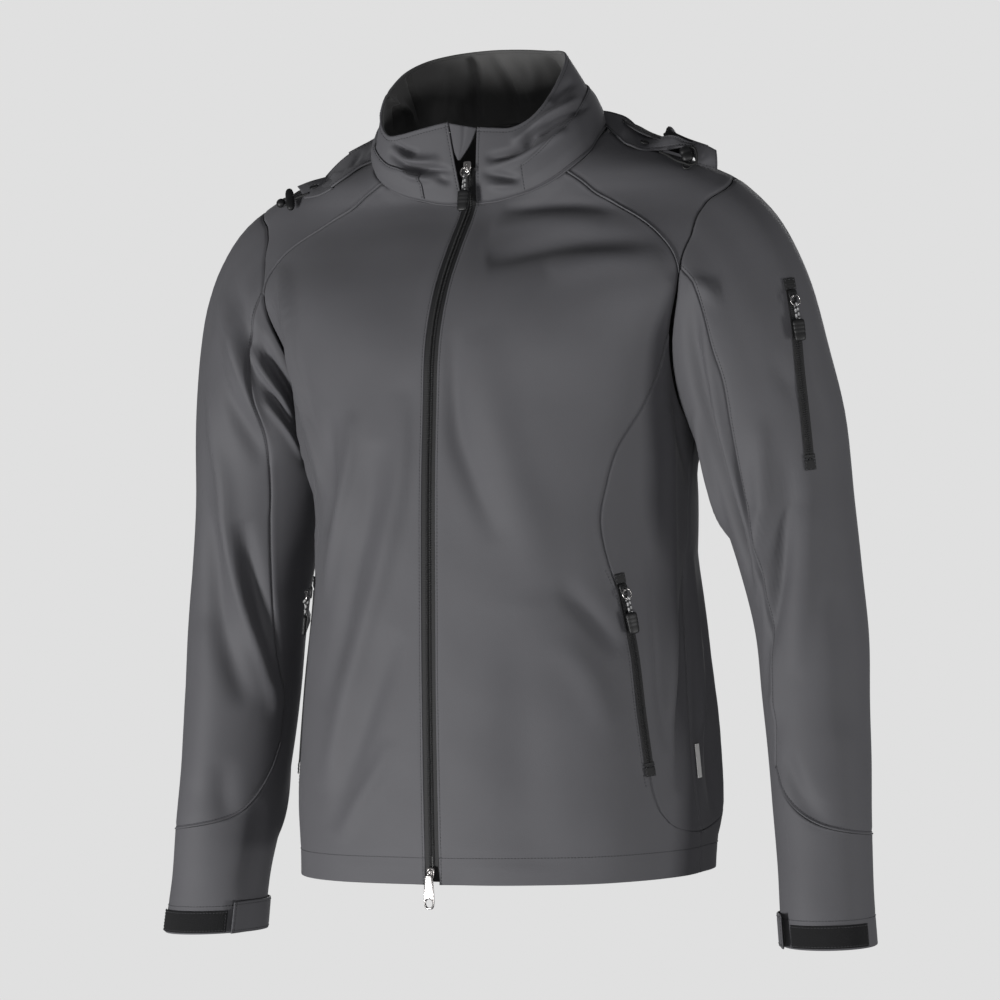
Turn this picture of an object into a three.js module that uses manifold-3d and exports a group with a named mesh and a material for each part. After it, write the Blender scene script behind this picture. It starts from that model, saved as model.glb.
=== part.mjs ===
// Softshell jacket, worn and filled out with no wearer inside. Millimetres, +Z up, the front faces -Y and the
// wearer's left is +X. The origin is at the base of the neck, on the middle line.
import * as THREE from "three";
import Module from "manifold-3d";

const wasm = await Module();
wasm.setup();

const CLOTH = 1.6; // wall of the softshell
const GAP = 0.3; // space between neighbouring pieces
const TAPE_HALF = 7; // from the middle line to each front edge
const EDGE_TRIM = 0.16; // each panel edge stays this far from its seam

// Torso rings: height, half width, side depth line, front depth, back depth, squareness.
const TORSO = [
  [-675, 200, -2, -154, 145, 2.4],
  [-600, 203, 3, -155, 141, 2.35],
  [-500, 195, 6, -155, 134, 2.3],
  [-400, 185, 16, -153, 131, 2.3],
  [-310, 185, 18, -150, 134, 2.4],
  [-240, 192, 8, -145, 139, 2.6],
  [-175, 208, 0, -138, 141, 2.8],
  [-125, 236, -3, -119, 137, 2.8],
  [-85, 250, -3, -91, 128, 2.6],
  [-58, 256, -3, -68, 114, 2.4],
  [-42, 254, -3, -58, 105, 2.3],
  [-29, 240, -1, -56, 99, 2.2],
  [-17, 213, 0, -54, 94, 2.2],
  [-5, 177, 4, -50, 90, 2.1],
  [6, 145, 10, -44, 87, 2],
  [18, 118, 16, -36, 84, 2],
  [28, 101, 20, -26, 80, 2],
  [42, 86, 24, -14, 74, 2],
];

// Seams of the torso as angle from the middle front and height.
const NECKLINE = [[7.4, -44], [20, -44], [35, -41], [49, -36], [58, -27], [64, -15.5], [67.6, -8], [77, 13],
  [88, 24], [105, 32], [140, 36], [180, 37]];
const YOKE_SEAM = [[63, -17.5], [66.5, -29], [70, -45], [71.5, -60], [72.5, -80], [73.5, -100], [74, -120]];
const ARMHOLE = [[93, -31], [83.5, -50], [77.5, -86], [74, -120], [75, -165], [79, -208], [87, -243], [98, -258],
  [109, -238], [113.5, -195], [113, -145], [108, -95], [100, -54]];
const PRINCESS = [[75.2, -172], [73.5, -205], [68, -240], [58.5, -280], [54, -320], [53, -350], [56, -385],
  [61, -420], [64.5, -470], [66.5, -530], [68, -580], [70.5, -607], [75, -623]];
const PRINCESS_TURN = [[75, -623], [79, -629.5], [84, -633], [90, -634]];
const SIDE_SEAM = [[98, -258], [94, -290], [91, -350], [90.5, -410], [88.5, -470], [86, -530], [86, -590], [90, -634]];
const SIDE_LOW = [[90, -634], [91.5, -675]];
const BACK_PRINCESS = [[113.4, -198], [116, -240], [119, -290], [121, -350], [120, -420], [117, -500], [112, -570],
  [108, -605], [104, -623]];
const BACK_TURN = [[90, -634], [95, -632.5], [100, -628.5], [104, -623]];
const SHOULDER_SEAM = [[93, 27], [93, 10], [93, -10], [93, -31]];

// Collar edge from the zip round the wearer's left side and the back to the zip again: x, y, z.
const RIM = [[7, -55, 29], [24, -52, 27.5], [40, -49, 27], [54, -44, 33], [63, -38, 42], [69, -27, 56],
  [72, -14, 71], [72, 1, 86], [67, 15, 96], [55, 29, 101], [35, 42, 103], [8, 50, 106], [-26, 49, 108],
  [-50, 41, 107], [-67, 27, 104], [-82, 8, 98], [-92, -13, 88], [-98, -30, 74], [-100, -43, 60], [-97, -53, 42],
  [-89, -59, 28], [-74, -63, 26], [-55, -64, 29], [-38, -64, 32], [-20, -63, 35]];

// Sleeve rings: height, centre x and y, short and long half axes, turn of the long axis.
const SLEEVE = [
  [-330, 282, 28, 64, 64, 27.5],
  [-390, 294, 32, 57, 60, 27.5],
  [-450, 303, 34, 53, 60, 27.5],
  [-512, 308, 32, 50, 58.5, 27.5],
  [-570, 313, 28, 48, 58, 27.5],
  [-630, 319, 20, 45, 55, 27.5],
  [-690, 325, 11, 44, 50.5, 27.5],
  [-740, 330, 7, 44, 51, 27.5],
];
const CUFF = SLEEVE.length;
// Sleeve seams as angle round the sleeve (0 outwards, 90 forwards) and place along it (0 armhole, 1 first ring).
const SEAM_FRONT = {
  left: [[79, 0], [78, 0.1], [84, 0.22], [89, 0.34], [90, 0.48], [95, 0.68], [99, 1], [101, 1.6], [108, 2.4],
    [112, 3.2], [117, 4.2], [125, 5.05]],
  right: [[81, 0], [89, 0.1], [98, 0.22], [106, 0.34], [116, 0.45], [123, 0.6], [128, 1], [134, 1.6], [145, 2.5],
    [159, 3.4], [170, 4], [172, 4.75]],
};
const SEAM_FOREARM = {
  left: [[125, 5.05], [116, 5.42], [98, 5.72], [73, 5.92], [43, 6.04], [7, 6.12], [-50, 6.2], [-105, 6.3]],
  right: [[172, 4.75], [163, 5.27], [147, 5.71], [127, 5.95], [80, 6.1], [7, 6.2], [-50, 6.25], [-105, 6.3]],
};
const SEAM_BACK = [[-81, 0], [-90, 0.5], [-95, 1], [-99, 2], [-102, 3.2], [-104, 4.6], [-105, 6.3]];
const SEAM_CLOSE = [[-105, 6.3], [-105, CUFF]];
const ARMPIT_EASE = 1.1; // the under sleeve starts this far outside the side panels
const SHOULDER_EASE = 0.3;

const rad = (deg) => (deg * Math.PI) / 180;
const clamp = (v, a, b) => Math.min(b, Math.max(a, v));
const add = (a, b, k = 1) => a.map((v, i) => v + b[i] * k);
const sub = (a, b) => a.map((v, i) => v - b[i]);
const len = (a) => Math.hypot(...a);
const unit = (a) => a.map((v) => v / len(a));
const mix = (a, b, t) => a.map((v, i) => v + (b[i] - v) * t);
const cross = (a, b) => [a[1] * b[2] - a[2] * b[1], a[2] * b[0] - a[0] * b[2], a[0] * b[1] - a[1] * b[0]];
const mirror = (p) => [-p[0], p[1], p[2]];

// Value at place t of a smooth curve through the rows, which are one apart.
function smooth(rows, t, closed = false) {
  const n = rows.length;
  const i = closed ? Math.floor(t) : clamp(Math.floor(t), 0, n - 2);
  const f = t - i;
  const at = (k) => (closed ? rows[(((i + k) % n) + n) % n] : rows[clamp(i + k, 0, n - 1)]);
  const b = at(0);
  const c = at(1);
  const a = !closed && i === 0 ? b.map((v, j) => 2 * v - c[j]) : at(-1);
  const d = !closed && i === n - 2 ? c.map((v, j) => 2 * v - b[j]) : at(2);
  return b.map(
    (v, j) =>
      0.5 *
      (2 * v +
        (c[j] - a[j]) * f +
        (2 * a[j] - 5 * v + 4 * c[j] - d[j]) * f * f +
        (3 * v - a[j] - 3 * c[j] + d[j]) * f * f * f),
  );
}

// Even steps by true length along the smooth curve through the rows, which lie on the surface if one is given.
function steps(rows, n, surface) {
  const fine = 24 * (rows.length - 1);
  const pts = [];
  for (let i = 0; i <= fine; i++) pts.push(smooth(rows, (i / fine) * (rows.length - 1)));
  const real = surface ? pts.map((p) => surface(...p)) : pts;
  const run = [0];
  for (let i = 1; i <= fine; i++) run.push(run[i - 1] + len(sub(real[i], real[i - 1])));
  const out = [];
  for (let k = 0; k <= n; k++) {
    const goal = (run[fine] * k) / n;
    let i = 1;
    while (i < fine && run[i] < goal) i++;
    out.push(mix(pts[i - 1], pts[i], clamp((goal - run[i - 1]) / (run[i] - run[i - 1] || 1), 0, 1)));
  }
  return out;
}
const joined = (...parts) => parts.reduce((all, p) => all.concat(all.length ? p.slice(1) : p), []);

function rowOf(z) {
  let i = 0;
  while (i < TORSO.length - 2 && TORSO[i + 1][0] < z) i++;
  return i + (z - TORSO[i][0]) / (TORSO[i + 1][0] - TORSO[i][0]);
}
function torso(phi, z) {
  const [h, w, yc, yf, yb, n] = smooth(TORSO, rowOf(z));
  const s = Math.sin(rad(phi));
  const c = Math.cos(rad(phi));
  const depth = c > 0 ? yc - yf : yb - yc;
  const r = Math.pow(Math.pow(Math.abs(c) / depth, n) + Math.pow(Math.abs(s) / w, n), -1 / n);
  return [r * s, yc - r * c, h];
}
const frontAngle = (x, z) => {
  const [, , yc, yf] = smooth(TORSO, rowOf(z));
  return (Math.atan2(x, yc - yf) * 180) / Math.PI;
};
function normalOf(surface, a, b, da, db) {
  const u = sub(surface(a + da, b), surface(a - da, b));
  const v = sub(surface(a, b + db), surface(a, b - db));
  return unit(cross(u, v));
}
const torsoNormal = (phi, z) => normalOf(torso, phi, z, 0.4, 1.2);

function armhole(psi) {
  const [phi, z] = smooth(ARMHOLE, ((psi / 360) * ARMHOLE.length) % ARMHOLE.length, true);
  return { p: torso(phi, z), n: torsoNormal(phi, z) };
}
function ring(psi, k) {
  const [z, cx, cy, p, q, turn] = smooth(SLEEVE, k);
  const r = rad(turn);
  const u = p * Math.cos(rad(psi) + r);
  const v = -q * Math.sin(rad(psi) + r);
  return [cx + u * Math.cos(r) - v * Math.sin(r), cy + u * Math.sin(r) + v * Math.cos(r), z];
}
// Soft step from 0 at low to 1 at high.
function ramp(x, low, high) {
  const t = clamp((x - low) / (high - low), 0, 1);
  return t * t * (3 - 2 * t);
}
function sleeve(psi, s) {
  if (s >= 1) return ring(psi, s - 1);
  const from = armhole(psi);
  const a = add(from.p, from.n, ARMPIT_EASE * clamp(0.4 - Math.cos(rad(psi)), 0, 1) + SHOULDER_EASE);
  const b = ring(psi, 0);
  const l = len(sub(b, a));
  const end = unit(sub(ring(psi, 0.01), b)).map((v) => v * l);
  const c = Math.cos(rad(psi));
  const way = unit([0.62 + 0.3 * c, -0.22 * Math.sin(rad(psi)), -0.55 - 0.15 * (1 - c)]);
  const less = 0.09 * clamp(0.9 - Math.abs(c - 0.45), 0, 1) * clamp(1.9 - 2 * c, 0, 1);
  const start = way.map((v) => v * l * (1.05 - less));
  const flat = 15 * ramp(c, -0.3, 0.6) * ramp(-Math.sin(rad(psi)), -0.3, 0.7);
  const s2 = s * s;
  const s3 = s2 * s;
  const inward = flat * 28.9 * s2 * (1 - s) ** 3;
  const out = [c * inward, -Math.sin(rad(psi)) * inward, 0];
  return a.map((v, i) => {
    const along = (2 * s3 - 3 * s2 + 1) * v + (s3 - 2 * s2 + s) * start[i];
    return along + (3 * s2 - 2 * s3) * b[i] + (s3 - s2) * end[i] - out[i];
  });
}
// The wall is square to the sleeve, but over the shoulder it starts square to the torso that it is sewn to.
function sleeveNormal(psi, s) {
  const n = normalOf(sleeve, psi, clamp(s, 0.02, CUFF - 0.01), 0.5, 0.01);
  const t = clamp(s / 0.25, 0, 1);
  const over = clamp(0.5 + 1.2 * Math.cos(rad(psi)), 0, 1);
  const w = 1 - over * (1 - t * t * (3 - 2 * t));
  return w < 1 ? unit(mix(armhole(psi).n, n, w)) : n;
}

// The shoulders hang a little lower on the wearer's right: height of a point after that lean.
const LEAN = { share: 0.028, least: 0.5, low: -420, high: -60 };
function settled(x, z) {
  const t = clamp((z - LEAN.low) / (LEAN.high - LEAN.low), 0, 1);
  return z + LEAN.share * x * (LEAN.least + (1 - LEAN.least) * t * t * (3 - 2 * t));
}

const group = new THREE.Group();
const COLOURS = {
  shell: [0x55565a, 0.82, 0],
  lining: [0x3d3e41, 0.9, 0],
  black: [0x141416, 0.7, 0],
  coil: [0x1b1b1d, 0.5, 0],
  metal: [0xb9b7b2, 0.3, 1],
  rubber: [0x17181a, 0.6, 0],
  label: [0xece9e0, 0.8, 0],
};
function place(name, geometry, kind) {
  const [color, roughness, metalness] = COLOURS[kind];
  const pos = geometry.getAttribute("position");
  for (let i = 0; i < pos.count; i++) pos.setZ(i, settled(pos.getX(i), pos.getZ(i)));
  const mesh = new THREE.Mesh(geometry, new THREE.MeshStandardMaterial({ color, roughness, metalness }));
  mesh.name = name;
  group.add(mesh);
}
// Closed body from points and triangles, turned so that its faces point out.
function body(points, triangles) {
  let volume = 0;
  for (const [a, b, c] of triangles) {
    const [p, q, r] = [points[a], points[b], points[c]];
    volume += p[0] * (q[1] * r[2] - q[2] * r[1]) - p[1] * (q[0] * r[2] - q[2] * r[0]) + p[2] * (q[0] * r[1] - q[1] * r[0]);
  }
  const faces = volume < 0 ? triangles.map(([a, b, c]) => [a, c, b]) : triangles;
  return new THREE.BufferGeometry()
    .setAttribute("position", new THREE.Float32BufferAttribute(points.flat(), 3))
    .setIndex(faces.flat());
}
// Wall between an outer and an inner grid of points.
function wall(outer, inner) {
  const rows = outer.length;
  const cols = outer[0].length;
  const points = [...outer.flat(), ...inner.flat()];
  const half = rows * cols;
  const id = (i, j, side) => side * half + i * cols + j;
  const tris = [];
  const quad = (a, b, c, d) => tris.push([a, b, c], [a, c, d]);
  for (let i = 0; i < rows - 1; i++)
    for (let j = 0; j < cols - 1; j++) {
      quad(id(i, j, 0), id(i, j + 1, 0), id(i + 1, j + 1, 0), id(i + 1, j, 0));
      quad(id(i, j, 1), id(i + 1, j, 1), id(i + 1, j + 1, 1), id(i, j + 1, 1));
    }
  for (let j = 0; j < cols - 1; j++) {
    quad(id(0, j, 0), id(0, j, 1), id(0, j + 1, 1), id(0, j + 1, 0));
    quad(id(rows - 1, j, 0), id(rows - 1, j + 1, 0), id(rows - 1, j + 1, 1), id(rows - 1, j, 1));
  }
  for (let i = 0; i < rows - 1; i++) {
    quad(id(i, 0, 0), id(i + 1, 0, 0), id(i + 1, 0, 1), id(i, 0, 1));
    quad(id(i, cols - 1, 0), id(i, cols - 1, 1), id(i + 1, cols - 1, 1), id(i + 1, cols - 1, 0));
  }
  return body(points, tris);
}
// Patch of (angle, place) pairs filled in between four edges that meet at the corners.
function patch(top, bottom, left, right) {
  const nu = top.length - 1;
  const nv = left.length - 1;
  const rows = [];
  for (let i = 0; i <= nv; i++) {
    const v = i / nv;
    const row = [];
    for (let j = 0; j <= nu; j++) {
      const u = j / nu;
      row.push(
        [0, 1].map(
          (k) =>
            (1 - v) * top[j][k] + v * bottom[j][k] + (1 - u) * left[i][k] + u * right[i][k] -
            ((1 - u) * (1 - v) * top[0][k] + u * (1 - v) * top[nu][k] + (1 - u) * v * bottom[0][k] +
              u * v * bottom[nu][k]),
        ),
      );
    }
    rows.push(row);
  }
  return rows;
}
// Moves the border of a grid of points inwards, so that neighbours never touch.
function trimmed(grid, by = EDGE_TRIM) {
  const rows = grid.length - 1;
  const cols = grid[0].length - 1;
  const pull = (i, j, di, dj) => {
    const d = sub(grid[i + di][j + dj], grid[i][j]);
    return d.map((v) => (v / len(d)) * by);
  };
  return grid.map((row, i) =>
    row.map((p, j) => {
      let q = p;
      if (i === 0) q = add(q, pull(i, j, 1, 0));
      if (i === rows) q = add(q, pull(i, j, -1, 0));
      if (j === 0) q = add(q, pull(i, j, 0, 1));
      if (j === cols) q = add(q, pull(i, j, 0, -1));
      return q;
    }),
  );
}
const SNAP = 4; // neighbours share the chords of a seam when they are this close
const HEM = { line: -650, cuffLine: CUFF - 0.55, thick: 2.8 };
function panel(name, cells, surface, normal, opts = {}) {
  const { flip = false, lift = 0, thick = () => CLOTH, kind = "shell", trim = EDGE_TRIM, seam = null } = opts;
  const turn = flip ? mirror : (p) => p;
  const raw = cells.map((row) => row.map(([a, b]) => surface(a, b)));
  if (seam) for (const row of raw) row[row.length - 1] = nearestOn(seam, row[row.length - 1]);
  const face = trimmed(raw, trim);
  const normals = cells.map((row) => row.map(([a, b]) => normal(a, b)));
  const outer = face.map((row, i) => row.map((p, j) => turn(add(p, normals[i][j], lift))));
  const inner = face.map((row, i) => row.map((p, j) => turn(add(p, normals[i][j], lift - thick(...cells[i][j])))));
  place(name, wall(outer, inner), kind);
  return raw;
}
// The point of a chain of straight steps nearest to p, or p itself when it lies past the end of the chain.
function nearestOn(chain, p) {
  let best = p;
  let least = SNAP;
  for (let i = 0; i < chain.length - 1; i++) {
    const d = sub(chain[i + 1], chain[i]);
    const t = clamp(sub(p, chain[i]).reduce((t, v, k) => t + v * d[k], 0) / len(d) ** 2, 0, 1);
    const q = add(chain[i], d, t);
    if (len(sub(q, p)) < least) {
      least = len(sub(q, p));
      best = q;
    }
  }
  return best;
}
const hemThick = (phi, z) => (z < HEM.line - 2 ? HEM.thick : CLOTH);

// Torso panels.
const FRONT_STEPS = 8;
const BACK_STEPS = 12;
const YOKE_STEPS = 7;
const zipEdge = steps([[frontAngle(TAPE_HALF, -44), -44], [frontAngle(TAPE_HALF, -75), -75],
  [frontAngle(TAPE_HALF, -110), -110], [frontAngle(TAPE_HALF, -170), -170], [frontAngle(TAPE_HALF, -300), -300],
  [frontAngle(TAPE_HALF, -500), -500], [frontAngle(TAPE_HALF, -675), -675]], 25, torso);
const neckFront = steps([[60, -23.5], [49, -36], [35, -41], [20, -44], [frontAngle(TAPE_HALF, -44), -44]], 6, torso);
const yoke = steps(YOKE_SEAM, 6, torso);
// Part of the armhole between two of its control points, which may lie between rows.
function armArc(from, to, n) {
  const rows = Array.from({ length: 33 }, (_, i) => smooth(ARMHOLE, from + ((to - from) * i) / 32, true));
  return steps(rows, n, torso);
}
const ARM_AT = { top: 0, yoke: 3, princess: 4.15, side: 7, back: 9, round: ARMHOLE.length };
const armFront = armArc(ARM_AT.yoke, ARM_AT.princess, 3);
const princess = steps([smooth(ARMHOLE, ARM_AT.princess, true), ...PRINCESS.slice(1)], 15, torso);
const turnFront = steps(PRINCESS_TURN, 5, torso);
const sideLow = steps(SIDE_LOW, 2, torso);
const hemFront = steps([[frontAngle(TAPE_HALF, -675), -675], [45, -675], [91.5, -675]], FRONT_STEPS, torso);
const neckStep = steps([[60, -23.5], [63, -17.5]], FRONT_STEPS, torso);
const frontCells = patch(neckStep, hemFront, joined(neckFront, zipEdge), joined(yoke, armFront, princess, turnFront,
  sideLow));
const neckYoke = steps([[63, -17.5], [67.6, -8], [77, 13], [93, 27]], YOKE_STEPS, torso);
const armYoke = armArc(ARM_AT.yoke, ARM_AT.top, YOKE_STEPS);
const shoulder = steps(SHOULDER_SEAM, 6, torso);
const yokeCells = patch(neckYoke, armYoke, yoke, shoulder);
const armLowFront = armArc(ARM_AT.princess, ARM_AT.side, 5);
const side = steps(SIDE_SEAM, 15, torso);
const sideFrontCells = patch(armLowFront, turnFront, princess, side);
const armLowBack = armArc(ARM_AT.side, ARM_AT.back, 5);
const backPrincess = steps([ARMHOLE[ARM_AT.back], ...BACK_PRINCESS.slice(1)], 15, torso);
const turnBack = steps(BACK_TURN, 5, torso);
const sideBackCells = patch(armLowBack, turnBack, side, backPrincess);
const armBack = armArc(ARM_AT.round, ARM_AT.back, 11);
const backLeft = joined(shoulder, armBack, backPrincess, turnBack.slice().reverse(), sideLow);
const backRight = backLeft.map(([a, z]) => [360 - a, z]);
const neckBack = steps([[93, 27], [105, 32], [140, 36], [180, 37], [220, 36], [255, 32], [267, 27]], BACK_STEPS, torso);
const hemBack = steps([[91.5, -675], [180, -675], [268.5, -675]], BACK_STEPS, torso);
const backCells = patch(neckBack, hemBack, backLeft, backRight);
for (const [suffix, flip] of [["left", false], ["right", true]]) {
  panel("front_" + suffix, frontCells, torso, torsoNormal, { flip, thick: hemThick });
  panel("yoke_front_" + suffix, yokeCells, torso, torsoNormal, { flip });
  panel("side_front_" + suffix, sideFrontCells, torso, torsoNormal, { flip });
  panel("side_back_" + suffix, sideBackCells, torso, torsoNormal, { flip });
}
panel("back", backCells, torso, torsoNormal, { thick: hemThick });

const backAngle = (s) => {
  let i = 0;
  while (i < SEAM_BACK.length - 2 && SEAM_BACK[i + 1][1] < s) i++;
  const [[a0, s0], [a1, s1]] = [SEAM_BACK[i], SEAM_BACK[i + 1]];
  return a0 + (a1 - a0) * clamp((s - s0) / (s1 - s0), 0, 1);
};
// Sleeves: the upper piece ends in the curved forearm seam; the under piece wraps round below it to the cuff.
const ARM_START = { over: 0.0055, under: 0.018 };
const armStart = (a) => ARM_START.over + ARM_START.under * Math.max(0, -Math.cos(rad(a)));
const lowered = (rows) => rows.map(([a, s]) => [a, Math.max(s, armStart(a))]);
const cuffThick = (psi, s) => (s > HEM.cuffLine ? 2.6 : CLOTH);
for (const [suffix, flip] of [["left", false], ["right", true]]) {
  const front = steps(SEAM_FRONT[suffix], 14, sleeve);
  const forearm = steps(SEAM_FOREARM[suffix], 10, sleeve);
  const back = steps(SEAM_BACK, 14, sleeve);
  const top = steps([[SEAM_FRONT[suffix][0][0], 0], [0, 0], [-81, 0]], 10, sleeve);
  const upperCells = patch(lowered(top), forearm, front, back).map(lowered);
  const upper = panel("sleeve_upper_" + suffix, upperCells, sleeve, sleeveNormal, { flip });
  const close = steps(SEAM_CLOSE, 4, sleeve);
  const left = joined(front, forearm, close);
  const right = left.map(([, s]) => [backAngle(s) + 360, s]);
  const under = steps([[SEAM_FRONT[suffix][0][0], 0], [180, 0], [279, 0]], 14, sleeve);
  const cuff = steps([[-105, CUFF], [255, CUFF]], 14, sleeve);
  panel("sleeve_under_" + suffix, patch(under, cuff, left, right).map(lowered), sleeve, sleeveNormal,
    { flip, thick: cuffThick, seam: upper.map((row) => row[row.length - 1]) });
}

// Collar: an outer and an inner layer from the neckline to the rim, and the flap round its lower half.
const COLLAR_STEPS = 30;
const neckRight = [[frontAngle(TAPE_HALF, -44), -44], ...NECKLINE.slice(1)];
const fullNeck = [...neckRight, ...neckRight.slice(0, -1).reverse().map(([a, z]) => [360 - a, z])];
const collarBase = steps(fullNeck, COLLAR_STEPS, torso).map(([a, z]) => add(torso(a, z), [0, 0, 0.9]));
const collarRim = steps(RIM, COLLAR_STEPS);
// Fullness of the collar, from the zip round to the zip: how far the middle of its height stands out.
const FULLNESS = [2, 3, 3, 3, 3, 3, 4, 6, 7, 7, 6, 5, 4, 3, 3, 2, 1];
function collar(k, v) {
  const base = smooth(collarBase, k);
  const rim = smooth(collarRim, k);
  const ahead = smooth(collarBase, Math.min(k + 0.2, COLLAR_STEPS));
  const behind = smooth(collarBase, Math.max(k - 0.2, 0));
  const t = sub(ahead, behind);
  const out = unit([t[1], -t[0], 0]);
  const full = smooth(FULLNESS.map((f) => [f]), (k / COLLAR_STEPS) * (FULLNESS.length - 1))[0];
  return add(mix(base, rim, v), out, full * Math.sin(Math.PI * Math.pow(v, 0.8)));
}
const collarNormal = (k, v) => normalOf(collar, clamp(k, 0.05, COLLAR_STEPS - 0.05), clamp(v, 0.03, 0.97), 0.05, 0.03);
const strip = (k0, k1, nk, v0, v1, nv) =>
  Array.from({ length: nv + 1 }, (_, i) =>
    Array.from({ length: nk + 1 }, (_, j) => {
      const t = j / nk;
      return [k0 + (k1 - k0) * t, v0(t) + ((v1(t) - v0(t)) * i) / nv];
    }),
  );
const LAYER = 1.3;
panel("collar_outer", strip(0, COLLAR_STEPS, 30, () => 0, () => 1, 5), collar, collarNormal, { thick: () => LAYER });
panel("collar_inner", strip(0, COLLAR_STEPS, 30, () => 0, () => 1, 5), collar, collarNormal,
  { lift: -LAYER - GAP, thick: () => LAYER, kind: "lining" });
const FLAP = { from: 2.4, to: 28, low: 0.07, high: 0.52, lift: LAYER + GAP + 1.5 };
const flapHigh = (t) => FLAP.high - 0.12 * Math.pow(Math.abs(2 * t - 1), 6);
panel("collar_flap", strip(FLAP.from, FLAP.to, 24, () => FLAP.low, flapHigh, 3), collar, collarNormal,
  { lift: FLAP.lift, thick: () => LAYER });

// Plate of even thickness from a closed outline of points and a direction.
function plate(outline, direction, thickness) {
  const n = outline.length;
  const points = [...outline, ...outline.map((p) => add(p, direction, thickness))];
  const tris = [];
  for (let i = 1; i < n - 1; i++) {
    tris.push([0, i + 1, i]);
    tris.push([n, n + i, n + i + 1]);
  }
  for (let i = 0; i < n; i++) {
    const j = (i + 1) % n;
    tris.push([i, j, n + j], [i, n + j, n + i]);
  }
  return body(points, tris);
}
const rightEdge = (v) => collar(COLLAR_STEPS, v);
const leftEdge = (v) => collar(0, v);
const GARAGE = { top: 0.99, low: 0.56, inset: 1.2 };
const garageTop = [leftEdge(GARAGE.top), rightEdge(GARAGE.top)];
const garageLow = mix(leftEdge(GARAGE.low), rightEdge(GARAGE.low), 0.5);
const garage = [
  add(garageTop[0], [-GARAGE.inset, 0, 0]),
  add(garageTop[1], [GARAGE.inset, 0, 0]),
  add(garageLow, [-1.6, 0, 0]),
  add(garageLow, [1.6, 0, 0]),
];
place("zip_garage", plate(garage, [0, 1, 0], 2), "shell");

// Ribbon lying on a surface along a line of points: half width, height of its under and upper face.
function ribbon(line, surface, normal, half, low, high, flip) {
  const pts = line.map((q) => surface(...q));
  const outer = [];
  const inner = [];
  pts.forEach((p, i) => {
    const n = normal(...line[i]);
    const t = unit(sub(pts[Math.min(i + 1, pts.length - 1)], pts[Math.max(i - 1, 0)]));
    const side = unit(cross(n, t));
    const turn = flip ? mirror : (q) => q;
    outer.push([-half, half].map((w) => turn(add(add(p, side, w), n, high))));
    inner.push([-half, half].map((w) => turn(add(add(p, side, w), n, low))));
  });
  return wall(outer, inner);
}

// Main zip: two tapes behind the front edges and the coil between them, from the hem up into the collar.
const ZIP_TOP = 0.46;
const zipRows = [];
for (let i = 0; i <= 22; i++) {
  const z = -672 + (i / 22) * (672 - 50);
  zipRows.push({ at: (x) => torso(frontAngle(x, z), z), n: torsoNormal(0, z) });
}
for (const v of [0.06, 0.2, 0.35, ZIP_TOP]) {
  const y = collar(0, v)[1];
  const z = collar(0, v)[2];
  const n = collarNormal(0, v);
  zipRows.push({ at: (x) => [x, y - 0.4, z], n: unit([0, n[1], n[2]]) });
}
const TAPE = { near: 0.15, far: 6.5, top: -0.9, low: -1.8 };
for (const [suffix, flip] of [["left", false], ["right", true]]) {
  const turn = flip ? mirror : (p) => p;
  const face = (depth) => zipRows.map(({ at, n }) => [TAPE.near, TAPE.far].map((x) => turn(add(at(x), n, depth))));
  place("zip_tape_" + suffix, wall(face(TAPE.top), face(TAPE.low)), "black");
}
const COIL = { half: 2.7, top: 0.8, low: -0.55 };
const coilFace = (depth) => zipRows.map(({ at, n }) => [-COIL.half, COIL.half].map((x) => add(at(x), n, depth)));
place("zip_coil", wall(coilFace(COIL.top), coilFace(COIL.low)), "coil");

// Solids joined from simple shapes, placed by a frame: origin p, across a, along b (down the zip), out c.
function solid(geometry) {
  const g = geometry.index ? geometry.toNonIndexed() : geometry;
  const pos = g.getAttribute("position").array;
  const map = new Map();
  const verts = [];
  const tris = [];
  for (let i = 0; i < pos.length; i += 3) {
    const key = [0, 1, 2].map((k) => Math.round(pos[i + k] * 1e4)).join();
    if (!map.has(key)) {
      map.set(key, verts.length / 3);
      verts.push(pos[i], pos[i + 1], pos[i + 2]);
    }
    tris.push(map.get(key));
  }
  const kept = [];
  for (let i = 0; i < tris.length; i += 3)
    if (tris[i] !== tris[i + 1] && tris[i + 1] !== tris[i + 2] && tris[i] !== tris[i + 2]) kept.push(...tris.slice(i, i + 3));
  return new wasm.Manifold(
    new wasm.Mesh({ numProp: 3, vertProperties: new Float32Array(verts), triVerts: new Uint32Array(kept) }),
  );
}
function meshOf(manifold) {
  const m = manifold.getMesh();
  return new THREE.BufferGeometry()
    .setAttribute("position", new THREE.BufferAttribute(new Float32Array(m.vertProperties), 3))
    .setIndex(new THREE.BufferAttribute(new Uint32Array(m.triVerts), 1));
}
function framed(manifold, p, a, b, c, flip) {
  const turn = flip ? mirror : (q) => q;
  const g = meshOf(manifold);
  const pos = g.getAttribute("position");
  const pts = [];
  for (let i = 0; i < pos.count; i++)
    pts.push(turn(add(add(add(p, a, pos.getX(i)), b, pos.getY(i)), c, pos.getZ(i))));
  const idx = g.getIndex().array;
  const tris = [];
  for (let i = 0; i < idx.length; i += 3) tris.push([idx[i], idx[i + 1], idx[i + 2]]);
  return body(pts, tris);
}
const box = (w, h, d, x = 0, y = 0, z = 0) => solid(new THREE.BoxGeometry(w, h, d).translate(x, y, z));
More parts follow.
